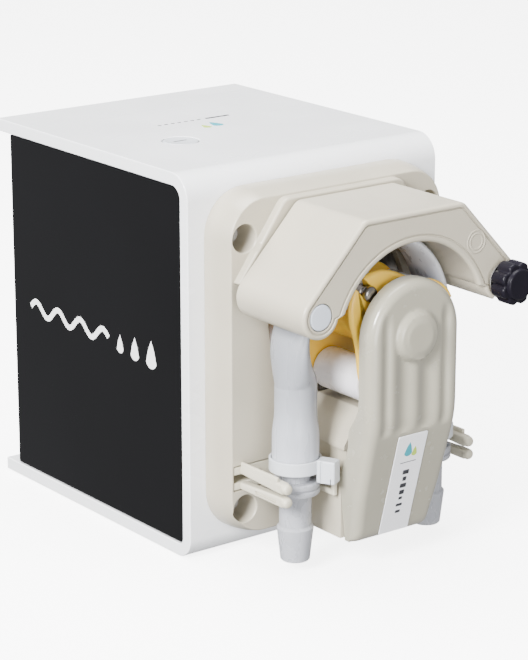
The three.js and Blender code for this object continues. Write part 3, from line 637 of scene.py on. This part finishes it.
# ---- head base
def head_base():
    half_width, low, top, corner = 52.7, 9.4, 143.6, 17.5

    def outline(inset):
        return rounded_rect(-half_width, half_width, low, top, corner, inset)

    steps = 10
    draft = 2.2
    stations = [(BASE_FRONT * i / steps, draft * (i / steps) ** draft) for i in range(steps + 1)]
    plate = shaped(outline, stations)

    ledge_line = [(-28, 140.6), (-49.5, 111), (49.5, 111), (28, 140.6)]
    ledge_line = rounded(ledge_line, [5, 0, 0, 5], 6)
    ledge = eased(prism(ledge_line, BASE_FRONT + 1, LEDGE_FRONT), 1.0, 4)
    saddle_line = [
        (-20, 12.5), (20, 12.5), (20, 39), (17.4, 39), (17.4, 47), (18.6, 47), (18.6, 49),
        (17.2, 51), (14, 56.5), (9, 61.4), (-9, 61.4), (-14, 56.5), (-17.2, 51),
        (-18.6, 49), (-18.6, 47), (-17.4, 47), (-17.4, 39), (-20, 39),
    ]
    lower = prism(saddle_line, BASE_FRONT + 1, BLOCK_FRONT)
    pocket = rod(POCKET, POCKET_FLOOR, LEDGE_FRONT - 1, (0, ROTOR_Z), steps=96)
    body = join(cut(join(plate, ledge), pocket), lower)

    cuts = [rod(MOTOR_NOSE, 1, POCKET_FLOOR - 1, (0, ROTOR_Z))]
    for at, slot_left in zip(BOLT_SPOTS, (-49.6, 20.6)):
        seat = [(0, POCKET_FLOOR - 1), (3.2, POCKET_FLOOR - 1), (3.2, -7), (BOLT_HOLE, -7)]
        cuts.append(lathe(seat + [(BOLT_HOLE, 1), (0, 1)], "Y", at, 32))
        slot = (slot_left, slot_left + 29)
        cuts.append(block(slot, (BASE_FRONT - 1, -5), (CLIP_Z[0] - GAP, CLIP_Z[1] + GAP)))
    holes = [
        rod(4.2, -2.7, LEDGE_FRONT - 1, (-HINGE_X, HINGE_Z)),
        rod(3.2, -2.7, LEDGE_FRONT - 1, (HINGE_X, HINGE_Z)),
    ]
    recess = [(0, LEDGE_FRONT - 1), (5.9, LEDGE_FRONT - 1), (5.9, BASE_FRONT - 0.05)]
    recess += [(5.6, BASE_FRONT + 0.1), (5.4, BASE_FRONT + 0.5), (5.35, BASE_FRONT + 0.7)]
    recess += [(5.35, -2.5), (SCREW_HOLE, -2.5), (SCREW_HOLE, 1), (0, 1)]
    holes += [lathe(recess, "Y", at, 48) for at in SCREW_SPOTS]
    body = eased(cut(body, merged(cuts), solver="MANIFOLD"), 0.4, 2)
    body = cut(body, *holes, solver="MANIFOLD")
    place("base_casting", body, BEIGE, "root", ["head_base"])

    back, front, rim = -11.3, -12.3, POCKET - 0.6
    profile = [(12, back), (rim, back), (rim, front + 0.2), (rim - 0.3, front), (12, front)]
    ring = lathe(profile, "Y", (0, ROTOR_Z), 96, True)
    place("wear_disc", ring, DARK_STEEL, "root", ["wear_plate"])

    for count, at in enumerate(SCREW_SPOTS, 1):
        place(f"cap_screw_{count}", cap_screw(at, -5.6, 2.8, 3.4, 2, 9.5, 1.6), SHADED_ZINC, "root",
              [f"mounting_screw_{count}"])
    for count, at in enumerate(BOLT_SPOTS, 1):
        place(f"gear_screw_{count}", cap_screw(at, -10.6, 3, 2.8, 1.4, 11, 1.3), STEEL, "root",
              [f"motor_screw_{count}"])


def cap_screw(at, face, height, radius, shank, tip, socket):
    """A socket cap screw along Y with its head towards the front."""
    under = face + height
    profile = [(0, face), (radius - 0.5, face), (radius, face + 0.5), (radius, under)]
    profile += [(shank, under), (shank, tip - 0.5), (shank - 0.5, tip), (0, tip)]
    key = lathe([(0, face - 1), (socket, face - 1), (socket, face + 1.6), (0, face + 2)], "Y", at, 6)
    return cut(lathe(profile, "Y", at, 48), key)


# ---- pressure shoe
SLOPE = 49  # the sloping sides, in degrees from level
SHOULDER_X = 21.5
SHOULDER_RADIUS = 5.0
SHOE_TOP = 139.6
KNOB_RADIUS = 8.3
KNOB_LOBES = 8


def shoe_outline(inset, track):
    start = math.degrees(math.asin((HINGE_Z - 0.6 - ROTOR_Z) / track))
    low = 13
    end = END_RADIUS - inset
    corner = SHOULDER_RADIUS - inset
    middle = SHOE_TOP - SHOULDER_RADIUS
    return (
        arc(HINGE_X, HINGE_Z, end, 180 + low, 450 - SLOPE, 24)
        + arc(SHOULDER_X, middle, corner, 90 - SLOPE, 90, 8)
        + arc(-SHOULDER_X, middle, corner, 90, 90 + SLOPE, 8)
        + arc(-HINGE_X, HINGE_Z, end, 90 + SLOPE, 360 - low, 24)
        + arc(0, ROTOR_Z, track, 180 - start, start, 48)
    )


def between(edge, track, y0, y1):
    """A channel that follows the shoe's outline: between two insets from its edge and track."""
    outer = prism(shoe_outline(edge[0], TRACK + track[0]), y0, y1)
    return cut(outer, prism(shoe_outline(edge[1], TRACK + track[1]), y0 + 1, y1 - 1))


def pressure_shoe():
    lip = 1.3
    edge = 1.7
    stations = [(ARCH_BACK, 0.5, TRACK), (ARCH_BACK - 0.5, 0, TRACK)]
    stations += [(ARCH_FRONT + 3.6, 0, TRACK), (ARCH_FRONT + 3.2, 0, TRACK - lip * 0.7)]
    stations += [(ARCH_FRONT + 2.6, 0, TRACK - lip), (ARCH_FRONT + lip, 0, TRACK - lip)]
    for y, inset in rolled(ARCH_FRONT, lip)[1:]:
        stations.append((y, inset, TRACK - lip + inset))
    shoe = shaped(shoe_outline, stations)

    face = prism(shoe_outline(edge, TRACK + 0.9), ARCH_FRONT + 0.22, ARCH_FRONT - 1)
    groove = between((edge, 2.4), (0.9, 1.7), ARCH_FRONT + 0.75, ARCH_FRONT - 1)
    seat = lathe(
        [(0, 0), (4.25, 0), (4.25, ARCH_FRONT + 2.8), (5.2, ARCH_FRONT + 2.8)]
        + [(5.2, ARCH_FRONT - 1), (0, ARCH_FRONT - 1)],
        "Y", (-HINGE_X, HINGE_Z), 64,
    )
    slot_line = arc(HINGE_X, HINGE_Z, 3.5, 0, 180, 16)
    slot_line += [(HINGE_X - 3.5, HINGE_Z - 20), (HINGE_X + 3.5, HINGE_Z - 20)]
    shoe = cut(shoe, face, groove, seat, prism(slot_line, 0, ARCH_FRONT - 2))
    shoe = join(shoe, *(raised_ring(radius) for radius in (3.0, 4.3)))
    place("shoe_casting", eased(shoe, 0.2, 2), BEIGE, "shoe", ["pressure_arch"])

    face = ARCH_FRONT + 0.25
    profile = [(0, face + 0.1), (4.2, face), (4.6, face + 0.1), (4.9, face + 0.45)]
    profile += [(4.9, ARCH_FRONT + 2.5), (0, ARCH_FRONT + 2.5)]
    cap = lathe(profile, "Y", (-HINGE_X, HINGE_Z), 64)
    place("pivot_disc", cap, PALE_BLUE, "shoe", ["pivot_cap"])
    tip = ARCH_FRONT + 3.5
    profile = [(0, -3), (3.5, -3), (3.9, -3.4), (3.9, tip + 0.5), (3.4, tip), (0, tip)]
    pin = lathe(profile, "Y", (-HINGE_X, HINGE_Z), 48)
    place("pivot_dowel", pin, STEEL, "root", ["pivot_pin"])


def raised_ring(radius):
    """A plain ring standing on the shoe's face, high on its right."""
    face = ARCH_FRONT + 0.22
    profile = [(radius - 0.35, face + 0.5), (radius - 0.35, face), (radius - 0.15, face - 0.16)]
    profile += [(radius + 0.15, face - 0.16), (radius + 0.35, face), (radius + 0.35, face + 0.5)]
    return lathe(profile, "Y", (30, 123.5), 64, True)


def knob_outline(inset):
    half = 180 / KNOB_LOBES

    def radius_at(t):
        from_notch = (math.degrees(t) + half) % (2 * half) - half
        return KNOB_RADIUS - inset - 1.25 * math.exp(-((from_notch / 8.5) ** 2))

    return polar(192, radius_at, HINGE_X, HINGE_Z)


def lock():
    at = (HINGE_X, HINGE_Z)
    profile = [(0, -3), (2.9, -3), (2.9, -65.7), (2.4, -66.2), (0, -66.2)]
    place("lock_bolt", lathe(profile, "Y", at, 40), STEEL, "root", ["lock_stud"])
    back, front = -58.35, -59.55
    profile = [(3.3, back), (7.1, back), (7.3, back - 0.2), (7.3, front + 0.25)]
    washer = lathe(profile + [(7.05, front), (3.3, front)], "Y", at, 64, True)
    place("lock_disc", washer, STEEL, "washer", ["lock_washer"])

    back, face, top = -59.9, -67.4, -68.8
    stations = [(back, 0.9), (back - 0.3, 0.35), (back - 0.9, 0.0)] + rolled(face, 1.0)
    grip = shaped(knob_outline, stations)
    cap = [(0, top), (3.0, top + 0.02)]
    cap += arc(5.2, top + 0.7, 0.7, 270, 360, 5)
    cap += [(6.3, face + 0.3), (6.3, back - 2), (0, back - 2)]
    bore = rod(3.3, 0, -66.8, at)
    knob = cut(join(grip, lathe(cap, "Y", at, 64)), bore)
    place("lock_grip", knob, KNOB_BLACK, "knob", ["lock_knob"])


# ---- front cover
COVER_RADIUS = 21.3
COVER_LOW = 11.5
COVER_WALL = 2.4
LOW_FRONT = -47.4
BEND_Z = 59.0
COVER_EDGE = 3.6
BOSS_RISE = 2.4
SIDE_LINE = [(11.5, 18.0), (31, 20.1), (48, 20.8), (66, 21.3), (200, 21.3)]
BACK_LINE = [(11.5, -41.3), (37.5, -41.3), (41.5, -42.6), (46, -45), (50, -46), (57, -46.6),
             (62, -50), (66, -52.2), (70, -52.5), (200, -52.5)]


def along(line, z):
    for (z0, v0), (z1, v1) in zip(line, line[1:]):
        if z <= z1:
            return v0 + (v1 - v0) * max(z - z0, 0) / (z1 - z0)
    return line[-1][1]


def smooth(value, low, high):
    t = min(max((value - low) / (high - low), 0), 1)
    return t * t * (3 - 2 * t)


def softened(a, b, reach):
    """The smaller of two distances, blended where they are close."""
    mixed = max(reach - abs(a - b), 0) / reach
    return min(a, b) - mixed * mixed * reach / 4


def cover_half_width(z):
    if z > ROTOR_Z:
        return math.sqrt(max(COVER_RADIUS**2 - (z - ROTOR_Z) ** 2, 0))
    return along(SIDE_LINE, z)


def cover_lean(z):
    """Depth of the cover's front, which leans back below its bend."""
    slope = (LOW_FRONT - COVER_FRONT) / (BEND_Z - COVER_LOW)
    reach = 5.0
    below = BEND_Z - z
    if below > reach:
        return COVER_FRONT + slope * below
    if below < -reach:
        return COVER_FRONT
    return COVER_FRONT + slope * (below + reach) ** 2 / (4 * reach)


def cover_relief(x, z):
    """How far the front stands out (+) or is sunk (-) at a point: boss, ridges and flutes."""
    from_axis = math.hypot(x, z - ROTOR_Z)
    rise = (BOSS_RISE - 0.5) * (1 - smooth(from_axis, 8.2, 10.2))
    rise += 0.5 * (1 - smooth(from_axis, 6.0, 7.2))
    inside = smooth(z, 56.5, 58.3)
    flute = 0.0
    if abs(x) < 11:
        flute = 1.35 * (1 - math.cos(2 * math.pi * x / 11)) / 2
    rise -= flute * inside * (1 - smooth(z, ROTOR_Z - 4, ROTOR_Z + 1)) * smooth(from_axis, 8.6, 10.6)
    off = abs(abs(x) - 14.2)
    if off < 3.0:
        valley = 1.0 * (1 + math.cos(math.pi * off / 3.0)) / 2
        rise -= valley * inside * (1 - smooth(z, ROTOR_Z + 4, ROTOR_Z + 12))
    return rise


def cover_point(column, z, wall):
    """A point of the cover's front skin, or of its inside when wall is its thickness."""
    half = cover_half_width(z)
    x = half * column
    if z > ROTOR_Z:
        side = COVER_RADIUS - math.hypot(x, z - ROTOR_Z)
    else:
        side = half - abs(x)
    edge = COVER_EDGE
    near = max(softened(side, z - COVER_LOW, 2.5), 0)
    fall = 0.0
    if near < edge:
        fall = edge - math.sqrt(edge**2 - (edge - near) ** 2)
    depth = cover_lean(z) + fall
    if wall:
        shrink = 1 - wall / COVER_RADIUS
        low = COVER_LOW + wall
        top = ROTOR_Z + COVER_RADIUS - wall
        z = low + (z - COVER_LOW) * (top - low) / (ROTOR_Z + COVER_RADIUS - COVER_LOW)
        return Vector((x * shrink, depth + wall, z))
    return Vector((x, depth - cover_relief(x, z), z))


def cover_shell():
    columns = 60
    spots = [2 * i / columns - 1 for i in range(columns + 1)]
    spots = [0.55 * t + 0.45 * math.sin(math.pi / 2 * t) for t in spots]
    heights = [COVER_LOW + d for d in (0, 0.25, 0.6, 1.1, 1.8, 2.7, 3.8)]
    steps = 66
    heights += [heights[-1] + (ROTOR_Z - heights[-1]) * (i + 1) / steps for i in range(steps)]
    top_steps = 30
    heights += [
        ROTOR_Z + COVER_RADIUS * math.sin(math.pi / 2 * (i + 1) / top_steps)
        for i in range(top_steps)
    ]

    bm = bmesh.new()

    def skin(wall):
        rows = [[bm.verts.new(cover_point(s, z, wall)) for s in spots] for z in heights[:-1]]
        peak = bm.verts.new(cover_point(0, heights[-1], wall))
        for a, b in zip(rows, rows[1:]):
            for i in range(columns):
                bm.faces.new((a[i], a[i + 1], b[i + 1], b[i]))
        for i in range(columns):
            bm.faces.new((rows[-1][i], rows[-1][i + 1], peak))
        rim = rows[0] + [row[-1] for row in rows[1:]] + [peak]
        rim += [row[0] for row in reversed(rows[1:])]
        start = [v.co.copy() for v in rim]
        levels = 6
        for level in range(1, levels + 1):
            ring = []
            for co in start:
                back = along(BACK_LINE, co.z)
                ring.append(bm.verts.new((co.x, co.y + (back - co.y) * level / levels, co.z)))
            for i in range(len(ring)):
                j = (i + 1) % len(ring)
                bm.faces.new((rim[i], rim[j], ring[j], ring[i]))
            rim = ring
        return rim

    outer = skin(0)
    inner = skin(COVER_WALL)
    for i in range(len(outer)):
        j = (i + 1) % len(outer)
        bm.faces.new((outer[i], outer[j], inner[j], inner[i]))
    return to_mesh(bm)


LABEL_MIDDLE = 34.0
LABEL_LEAN = math.atan2(LOW_FRONT - COVER_FRONT, BEND_Z - COVER_LOW)
LABEL_FACE = cover_lean(LABEL_MIDDLE)


def label_plane(mesh):
    """Moves a shape drawn round the origin, facing -Y, onto the leaning front at the label."""
    turn = Matrix.Rotation(LABEL_LEAN, 4, "X")
    mesh.transform(Matrix.Translation((0, LABEL_FACE, LABEL_MIDDLE)) @ turn)
    return mesh


def front_cover():
    shell = cover_shell()
    hub = lathe(
        [(8.8, -52.5), (11.2, -52.5), (11.2, COVER_FRONT + 1.2), (8.8, COVER_FRONT + 1.2)],
        "Y", (0, ROTOR_Z), 64, True,
    )
    recess = label_plane(prism(rounded_rect(-7.4, 7.4, -21.9, 21.9, 0.8, 0, 3), 0.5, -4))
    cover = cut(join(shell, hub), recess, solver="MANIFOLD")
    place("cover_shell", cover, GLOSS_BEIGE, "root", ["front_cover"])

    label = label_plane(
        shaped(lambda inset: rounded_rect(-7.1, 7.1, -21.6, 21.6, 0.7, inset, 4),
               [(0.2, 0.0), (-0.12, 0.0), (-0.2, 0.08)])
    )
    place("cover_plate", label, LABEL_FILM, "root", ["cover_label"])
    label_print()


def drop_outline(u, v, size):
    """A water drop standing on its round end."""
    waist = size * 0.55
    point = [(u + waist, v + size), (u, v + size * 2.1), (u - waist, v + size)]
    return arc(u, v, size, 200, 340, 14) + point


def label_print():
    """A plain drop mark and a few bars, printed on the label."""
    thin = (-0.18, -0.24)
    marks = {
        "teal": [drop_outline(-0.9, 14.2, 2.0)],
        "lime": [drop_outline(2.2, 13.2, 1.35)],
        "dark": [rounded_rect(-3.8, 3.8, 9.4, 9.7, 0.12, 0, 2)],
    }
    bars = [(1.5, 1.9), (0.9, 1.9), (1.5, 1.9), (1.2, 1.9), (0.9, 1.2), (1.5, 1.2), (1.2, 1.2)]
    for i, (reach, width) in enumerate(bars):
        top = 6.0 - 3.0 * i
        marks["dark"].append(rounded_rect(-reach, reach, top - width, top, 0.3, 0, 3))
    for colour, outlines in marks.items():
        mesh = label_plane(merged([prism(outline, *thin) for outline in outlines]))
        place(f"label_mark_{colour}", mesh, PRINTS[colour], "root")


# ---- rotor
def lobe_outline(inset):
    phase = math.atan2(ROLLER_SPOTS[0].z - ROTOR_Z, ROLLER_SPOTS[0].x)
    return polar(144, lambda t: 24 + 4 * math.cos(3 * (t - phase)) - inset, 0, ROTOR_Z)


def tip_slot(at):
    """A slot from a roller pin's seat out through the end of its lobe."""
    half = PIN_RADIUS + GAP
    outward = (Vector(at) - Vector((0, ROTOR_Z))).normalized()
    across = Vector((-outward.y, outward.x)) * half
    turn = math.degrees(math.atan2(outward.y, outward.x))
    end = Vector(at) + outward * 12
    mouth = [tuple(end - across), tuple(end + across)]
    return arc(at[0], at[1], half, turn + 90, turn + 270, 16) + mouth


def rotor():
    back = ROLLER_BACK + 4.1
    plate_back = ROLLER_FRONT - 1.1
    front = ROLLER_FRONT - 6
    spots = [(spot.x, spot.z) for spot in ROLLER_SPOTS]
    bore = rod(SHAFT_RADIUS + GAP, 0, -FAR, (0, ROTOR_Z))

    stations = rolled(back, 0.9, 0, -1)[::-1] + rolled(ROLLER_BACK + 0.6, 0.9)
    disc = shaped(lobe_outline, stations)
    hub = rod(9, back - 1, ROLLER_FRONT - 0.8, (0, ROTOR_Z), steps=64)
    holes = merged([rod(PIN_RADIUS + GAP, back - 1.2, ROLLER_BACK - 1, at) for at in spots])
    body = cut(join(disc, hub), bore, holes, solver="MANIFOLD")
    body = eased(body, 0.3, 2)
    place("rotor_core", body, AMBER, "rotor", ["rotor_body"])

    stations = [(plate_back, 4.0), (plate_back - 0.5, 3.6)]
    stations += [(front + 2.6, 0.9), (front + 2.2, 0.5), (front + 1.9, 0.15)]
    stations += rolled(front, 1.7, 0, 1, 7)
    plate = shaped(lobe_outline, stations)
    seats = merged([prism(tip_slot(at), 0, front - 1) for at in spots])
    dish = lathe(
        [(0, front - 1), (16.4, front - 1), (15.6, front + 0.7), (10.5, front + 0.7)]
        + [(10, front + 0.1), (0, front + 0.1)],
        "Y", (0, ROTOR_Z), 96,
    )
    plate = eased(cut(plate, bore, seats, dish), 0.45, 3)
    place("rotor_face", plate, AMBER, "rotor", ["rotor_front_plate"])

    for i, at in enumerate(spots, 1):
        edge = ROLLER_RADIUS - 0.9
        profile = [(2.6, ROLLER_BACK), (edge - 0.3, ROLLER_BACK)]
        profile += arc(edge, ROLLER_BACK - 0.9, 0.9, 90, 0, 4)
        profile += arc(edge, ROLLER_FRONT + 0.9, 0.9, 0, -90, 4)
        profile += [(2.6, ROLLER_FRONT)]
        place(f"roller_sleeve_{i}", lathe(profile, "Y", at, 72, True), ROLLER_WHITE,
              f"{RANKS[i - 1]}_roller", [f"roller_{i}"])
        tip = front - 2.2
        profile = [(0, back - 1.5), (PIN_RADIUS, back - 1.5), (PIN_RADIUS, plate_back + 0.4)]
        profile += [(2.35, plate_back), (2.35, front + 2.2), (1.9, front + 1.9), (1.9, front + 0.7)]
        profile += [(2.9, front + 0.4), (3.0, front), (3.0, tip + 1.0), (2.7, tip + 0.4)]
        profile += [(2.0, tip), (0, tip - 0.02)]
        place(f"roller_axle_{i}", lathe(profile, "Y", at, 40), DARK_STEEL, "rotor",
              [f"roller_pin_{i}"])
    low, high = (corner.y - FRONT for corner in box_mm("drive_shaft"))
    profile = [(0, low), (2.5, low), (3, low + 0.5), (3, high - 0.5), (2.5, high), (0, high)]
    place("shaft", lathe(profile, "Y", (0, ROTOR_Z), 48), STEEL, "rotor", ["drive_shaft"])


# ---- tube and fittings
TUBE_END = CLIP_Z[1] + GAP


def tube_leg(z):
    """Centre and half thickness of the hanging part of the tube at a height."""
    fitted = 0.9 * (1 - smooth(z, 53, 63))
    outer = TUBE_X + TUBE_RADIUS + fitted - (7.4 + fitted) * smooth(z, 84, 108)
    clear_of = SWEEP + 0.9
    rise = min(abs(z - ROTOR_Z), clear_of)
    inner = max(TUBE_X - TUBE_RADIUS - fitted, math.sqrt(clear_of**2 - rise**2))
    return (outer + inner) / 2, (outer - inner) / 2


def tube_stations():
    """(x, z, half thickness) along the tube from its right end over the rotor to its left end."""
    steps = 56
    leg = []
    for i in range(steps + 1):
        z = TUBE_END + (104 - TUBE_END) * i / steps
        x, half = tube_leg(z)
        leg.append((x, z, half))
    middle = (SWEEP + TRACK) / 2
    pinched = (TRACK - SWEEP) / 2 - GAP
    start = math.asin((107 - ROTOR_Z) / middle)
    arc_steps = 48
    over = []
    for i in range(arc_steps + 1):
        t = start + (math.pi - 2 * start) * i / arc_steps
        over.append((middle * math.cos(t), ROTOR_Z + middle * math.sin(t), pinched))
    return leg + over + [(-x, z, half) for x, z, half in reversed(leg)]


def tube_ring(stations, i, wall):
    x, z, half = stations[i]
    last = len(stations) - 1
    if i in (0, last):
        along_u, along_v = 0, (1 if i == 0 else -1)
    else:
        before, after = stations[i - 1], stations[i + 1]
        length = math.hypot(after[0] - before[0], after[1] - before[1])
        along_u, along_v = (after[0] - before[0]) / length, (after[1] - before[1]) / length
    flat = math.sqrt(max(2 * TUBE_RADIUS**2 - half**2, 0))
    wide = half if half >= TUBE_RADIUS else min(flat, 10)
    if wall:
        eased_bore = 0.22 if z < 58 else 0
        half = max(half - wall, 0.15) + eased_bore
        wide = wide - wall + eased_bore
    ring = []
    sides = 40
    for k in range(sides):
        t = 2 * math.pi * k / sides
        u = half * math.cos(t)
        ring.append((x - along_v * u, TUBE_Y + wide * math.sin(t), z + along_u * u))
    return ring


def pump_tube():
    stations = tube_stations()
    count = len(stations)
    outer = [tube_ring(stations, i, 0) for i in range(count)]
    inner = [tube_ring(stations, i, TUBE_RADIUS - TUBE_BORE) for i in range(count)]
    tube = loft(outer + inner[::-1], closed=True)
    place("silicone_tube", tube, SILICONE, "root", ["pump_tube"])


def hose_fittings():
    for side, s in (("left", -1), ("right", 1)):
        at = (s * TUBE_X, TUBE_Y)
        bore = 3.6
        profile = [
            (bore, 4.5), (4.1, 4), (5.2, 4), (5.6, 4.5), (6.95, 16.6), (7.0, 17.1), (6.6, 17.6),
            (6.1, 18.1), (6.1, 30.4), (6.6, 31), (8.9, 31), (9.2, 31.4), (9.2, 32.7), (8.7, 33.1),
            (8.7, 33.5), (9.2, 33.9), (9.2, 35.6), (8.8, 36), (5.6, 36), (5.5, 36.4), (5.5, 44),
            (5.8, 44.3), (5.5, 45.4), (5.5, 47.5), (5.8, 47.8), (5.5, 49), (5.5, 51), (5.8, 51.2),
            (4.9, 56), (bore, 56),
        ]
        place(f"barb_{side}", lathe(profile, "Z", at, 64, True), CLEAR_PLASTIC, "root",
              [f"hose_barb_{side}"])

        low, high = 39.8, 45.0
        profile = [(9.25, low), (9.75, low), (10, low + 0.3), (10, high - 0.3), (9.75, high)]
        band = lathe(profile + [(9.25, high)], "Z", at, 72, True)
        foot, crown = 36.5, 45.5
        tab = eased(block((9.6, 17.0), (-2.8, 2.8), (foot, crown)), 0.7, 4)
        slots = [block((15.2, 15.6), (-3, 3), (foot - 1, foot + 2.4)),
                 block((11.2, 12.2), (-3, -2.4), (foot - 1, crown + 1))]
        tab = cut(tab, *slots)
        turn = Matrix.Rotation(math.radians(-62), 4, "Z")
        tab.transform(turn)
        if s > 0:
            tab = mirrored(tab)
        tab.transform(Matrix.Translation((at[0], at[1], 0)))
        place(f"clamp_{side}", join(band, tab), WHITE_PLASTIC, "root",
              [f"hose_clamp_{side}"])


def tube_clip():
    """A fork across the base: two prongs outside the tube and a closed loop inside it."""
    low, high = CLIP_Z
    root = BASE_FRONT + GAP
    tip_radius = 2.1
    bar = cut(
        block((-49.3, -20.9), (root, -5.3), (low, high)),
        block((-50, -36), (-15, -6.6), (low + 3.0, high - 3.4)),
    )
    clip = eased(bar, 0.5, 3)
    prongs = (
        (low + tip_radius, low, low + 2.9, low + 4.0),
        (high - tip_radius, high, high - 3.3, high - 4.2),
    )
    for middle, outside, thin, thick in prongs:
        side = [(-13, outside), (-39.5, outside), (-39.5, thick)]
        side += [(-36, thick), (-15, thin), (-13, thin)]
        arm = eased(prism(side, -46.4, -42.8, "X"), 0.8, 3)
        tip = [(0, -41.3), (1.2, -41.3), (1.75, -40.95), (tip_radius, -40.2), (tip_radius, -38.8)]
        tip = lathe(tip + [(1.7, -38.2), (0, -38.2)], "Y", (-44.6, middle), 40)
        clip = join(clip, arm, tip)
    groove = eased(block((-47, -45.6), (-35.5, -23), (low + 1.1, low + 2.3)), 0.35, 2)
    rib = eased(block((-46.4, -45.0), (-36, root), (high - 0.6, high + 1.6)), 0.4, 3)
    loop = cut(
        block((-22.9, -20.9), (-40.4, -13), (low, high)),
        block((-30, -20), (-38.6, -14.5), (low + 2.2, high - 2.2)),
    )
    return cut(join(clip, rib, eased(loop, 0.5, 3)), groove)


def tube_clips():
    clip = tube_clip()
    for side, mesh in (("right", mirrored(clip)), ("left", clip)):
        place(f"clip_{side}", mesh, CREAM, "root", [f"tube_clip_{side}"])


# ---- prints
def ribbon(points, width):
    """A flat stroke of one width along a line."""
    left, right = [], []
    for i, point in enumerate(points):
        a = Vector(points[max(i - 1, 0)])
        b = Vector(points[min(i + 1, len(points) - 1)])
        side = (b - a).normalized()
        side = Vector((-side.y, side.x)) * width / 2
        left.append(tuple(Vector(point) + side))
        right.append(tuple(Vector(point) - side))
    return left + right[::-1]


def side_print():
    """A plain wave line and drops, printed on the left panel."""
    face = box_mm("left_side_panel")[0].x
    wave = [(44 - 0.5 * i, 76 + 2.6 * math.sin(2 * math.pi * i / 32)) for i in range(113)]
    shapes = [ribbon(wave, 2.3)]
    shapes += [drop_outline(-y, 74, size) for y, size in ((20, 2.4), (30, 3.0), (41, 3.6))]
    mesh = merged([prism(shape, face + 0.1, face - 0.06, "X") for shape in shapes])
    place("panel_print", mesh, PRINTS["white"], "root", origin=ROW)


def top_print():
    """A dashed line with two drops below it, and a short bar on the button."""
    line = 13.6
    start = -17.2
    dash = [rounded_rect(6.2, 17.9, line - 0.8, line + 0.8, 0.5, 0, 2)]
    for i in range(7):
        left = start + 3.2 * i
        dash.append(rounded_rect(left, left + 1.7, line - 0.45, line + 0.45, 0.3, 0, 2))
    x, y = BUTTON_AT.x, BUTTON_AT.y
    marks = {
        "teal": [drop_outline(3.2, 1.6, 2.6)],
        "lime": [drop_outline(-2.6, 0.4, 1.9)],
        "dark": dash,
    }
    for colour, outlines in marks.items():
        mesh = merged([prism(outline, HEIGHT - 0.1, HEIGHT + 0.05, "Z") for outline in outlines])
        place(f"top_mark_{colour}", mesh, PRINTS[colour], "root", origin=ROW)
    bar = rounded_rect(x - 2.8, x + 3.4, y + 0.5, y + 1.1, 0.28, 0, 2)
    bar = prism(bar, HEIGHT - 0.5, HEIGHT - 0.26, "Z")
    place("button_mark", bar, PRINTS["dark"], "button", origin=ROW)


# ---- pieces kept from the frame
def carried_over():
    finishes = {
        "circuit_board": BOARD_GREEN,
        "dark_plastic": DARK_PLASTIC,
        "cream_plastic": CREAM,
        "steel": STEEL,
        "zinc_steel": SHADED_ZINC,
        "cast_aluminium": ALUMINIUM,
        "laminations": LAMINATIONS,
    }
    slots = {entry["node"]: entry["material_slot"] for entry in frame["record"]["subparts"]}
    for name, obj in frame["nodes"].items():
        if not obj.hide_render:
            material = finishes[slots[name]]
            for spot in obj.material_slots:
                spot.material = material


# ---- studio
def area_light(name, at, target, size, watts):
    data = bpy.data.lights.new(name, "AREA")
    data.shape = "RECTANGLE"
    data.size, data.size_y = size
    data.energy = watts
    light = new_object(name, data)
    light.location = at
    light.rotation_euler = (Vector(target) - Vector(at)).to_track_quat("-Z", "Y").to_euler()


def studio():
    """A white floor and dome that only the camera sees, with light from the left and above."""
    paper = Finish("pale_floor")
    tone = paper.mix(paper.noise(3.0), (0.90, 0.90, 0.90), (0.92, 0.92, 0.92))
    paper.feed("Base Color", tone)
    paper.set(Roughness=0.9, Emission_Color=(1, 1, 1, 1), Emission_Strength=5.0)

    reach = 6.0
    ground = -0.0003
    floor = bmesh.new()
    corners = [(-reach, -reach), (reach, -reach), (reach, reach), (-reach, reach)]
    floor.faces.new([floor.verts.new((x, y, ground)) for x, y in corners])
    dome = bmesh.new()
    bmesh.ops.create_icosphere(dome, subdivisions=4, radius=reach)
    for name, shape in (("floor", floor), ("dome", dome)):
        mesh = bpy.data.meshes.new(name)
        shape.to_mesh(mesh)
        shape.free()
        mesh.materials.append(paper.material)
        backdrop = new_object(name, mesh)
        for ray in ("diffuse", "glossy", "transmission", "shadow"):
            setattr(backdrop, f"visible_{ray}", False)

    world = bpy.data.worlds.new("studio")
    world.use_nodes = True
    background = world.node_tree.nodes["Background"]
    background.inputs["Color"].default_value = (0.98, 0.985, 1.0, 1)
    background.inputs["Strength"].default_value = 0.65
    bpy.context.scene.world = world

    aim = (0, -0.05, 0.07)
    area_light("top", (0.0, 0.15, 1.5), aim, (1.0, 1.0), 50)
    area_light("key", (-1.28, -0.50, 0.82), aim, (0.6, 0.6), 88)
    area_light("fill", (-0.45, -1.4, 0.1), aim, (0.8, 0.8), 15)


def camera():
    turn = math.radians(37.314)
    drop = math.radians(16.644)
    level = math.cos(drop)
    forward = Vector((math.sin(turn) * level, math.cos(turn) * level, -math.sin(drop)))
    data = bpy.data.cameras.new("camera")
    data.lens = 136.3
    data.sensor_width = 36
    data.clip_start = 0.01
    data.clip_end = 50
    cam = new_object("camera", data)
    cam.location = (-0.575, -0.7879, 0.3569)
    cam.rotation_euler = forward.to_track_quat("-Z", "Y").to_euler()
    bpy.context.scene.camera = cam


enclosure()
rear_wall()
button()
head_base()
pressure_shoe()
lock()
front_cover()
rotor()
pump_tube()
hose_fittings()
tube_clips()
side_print()
top_print()
carried_over()
studio()
camera()
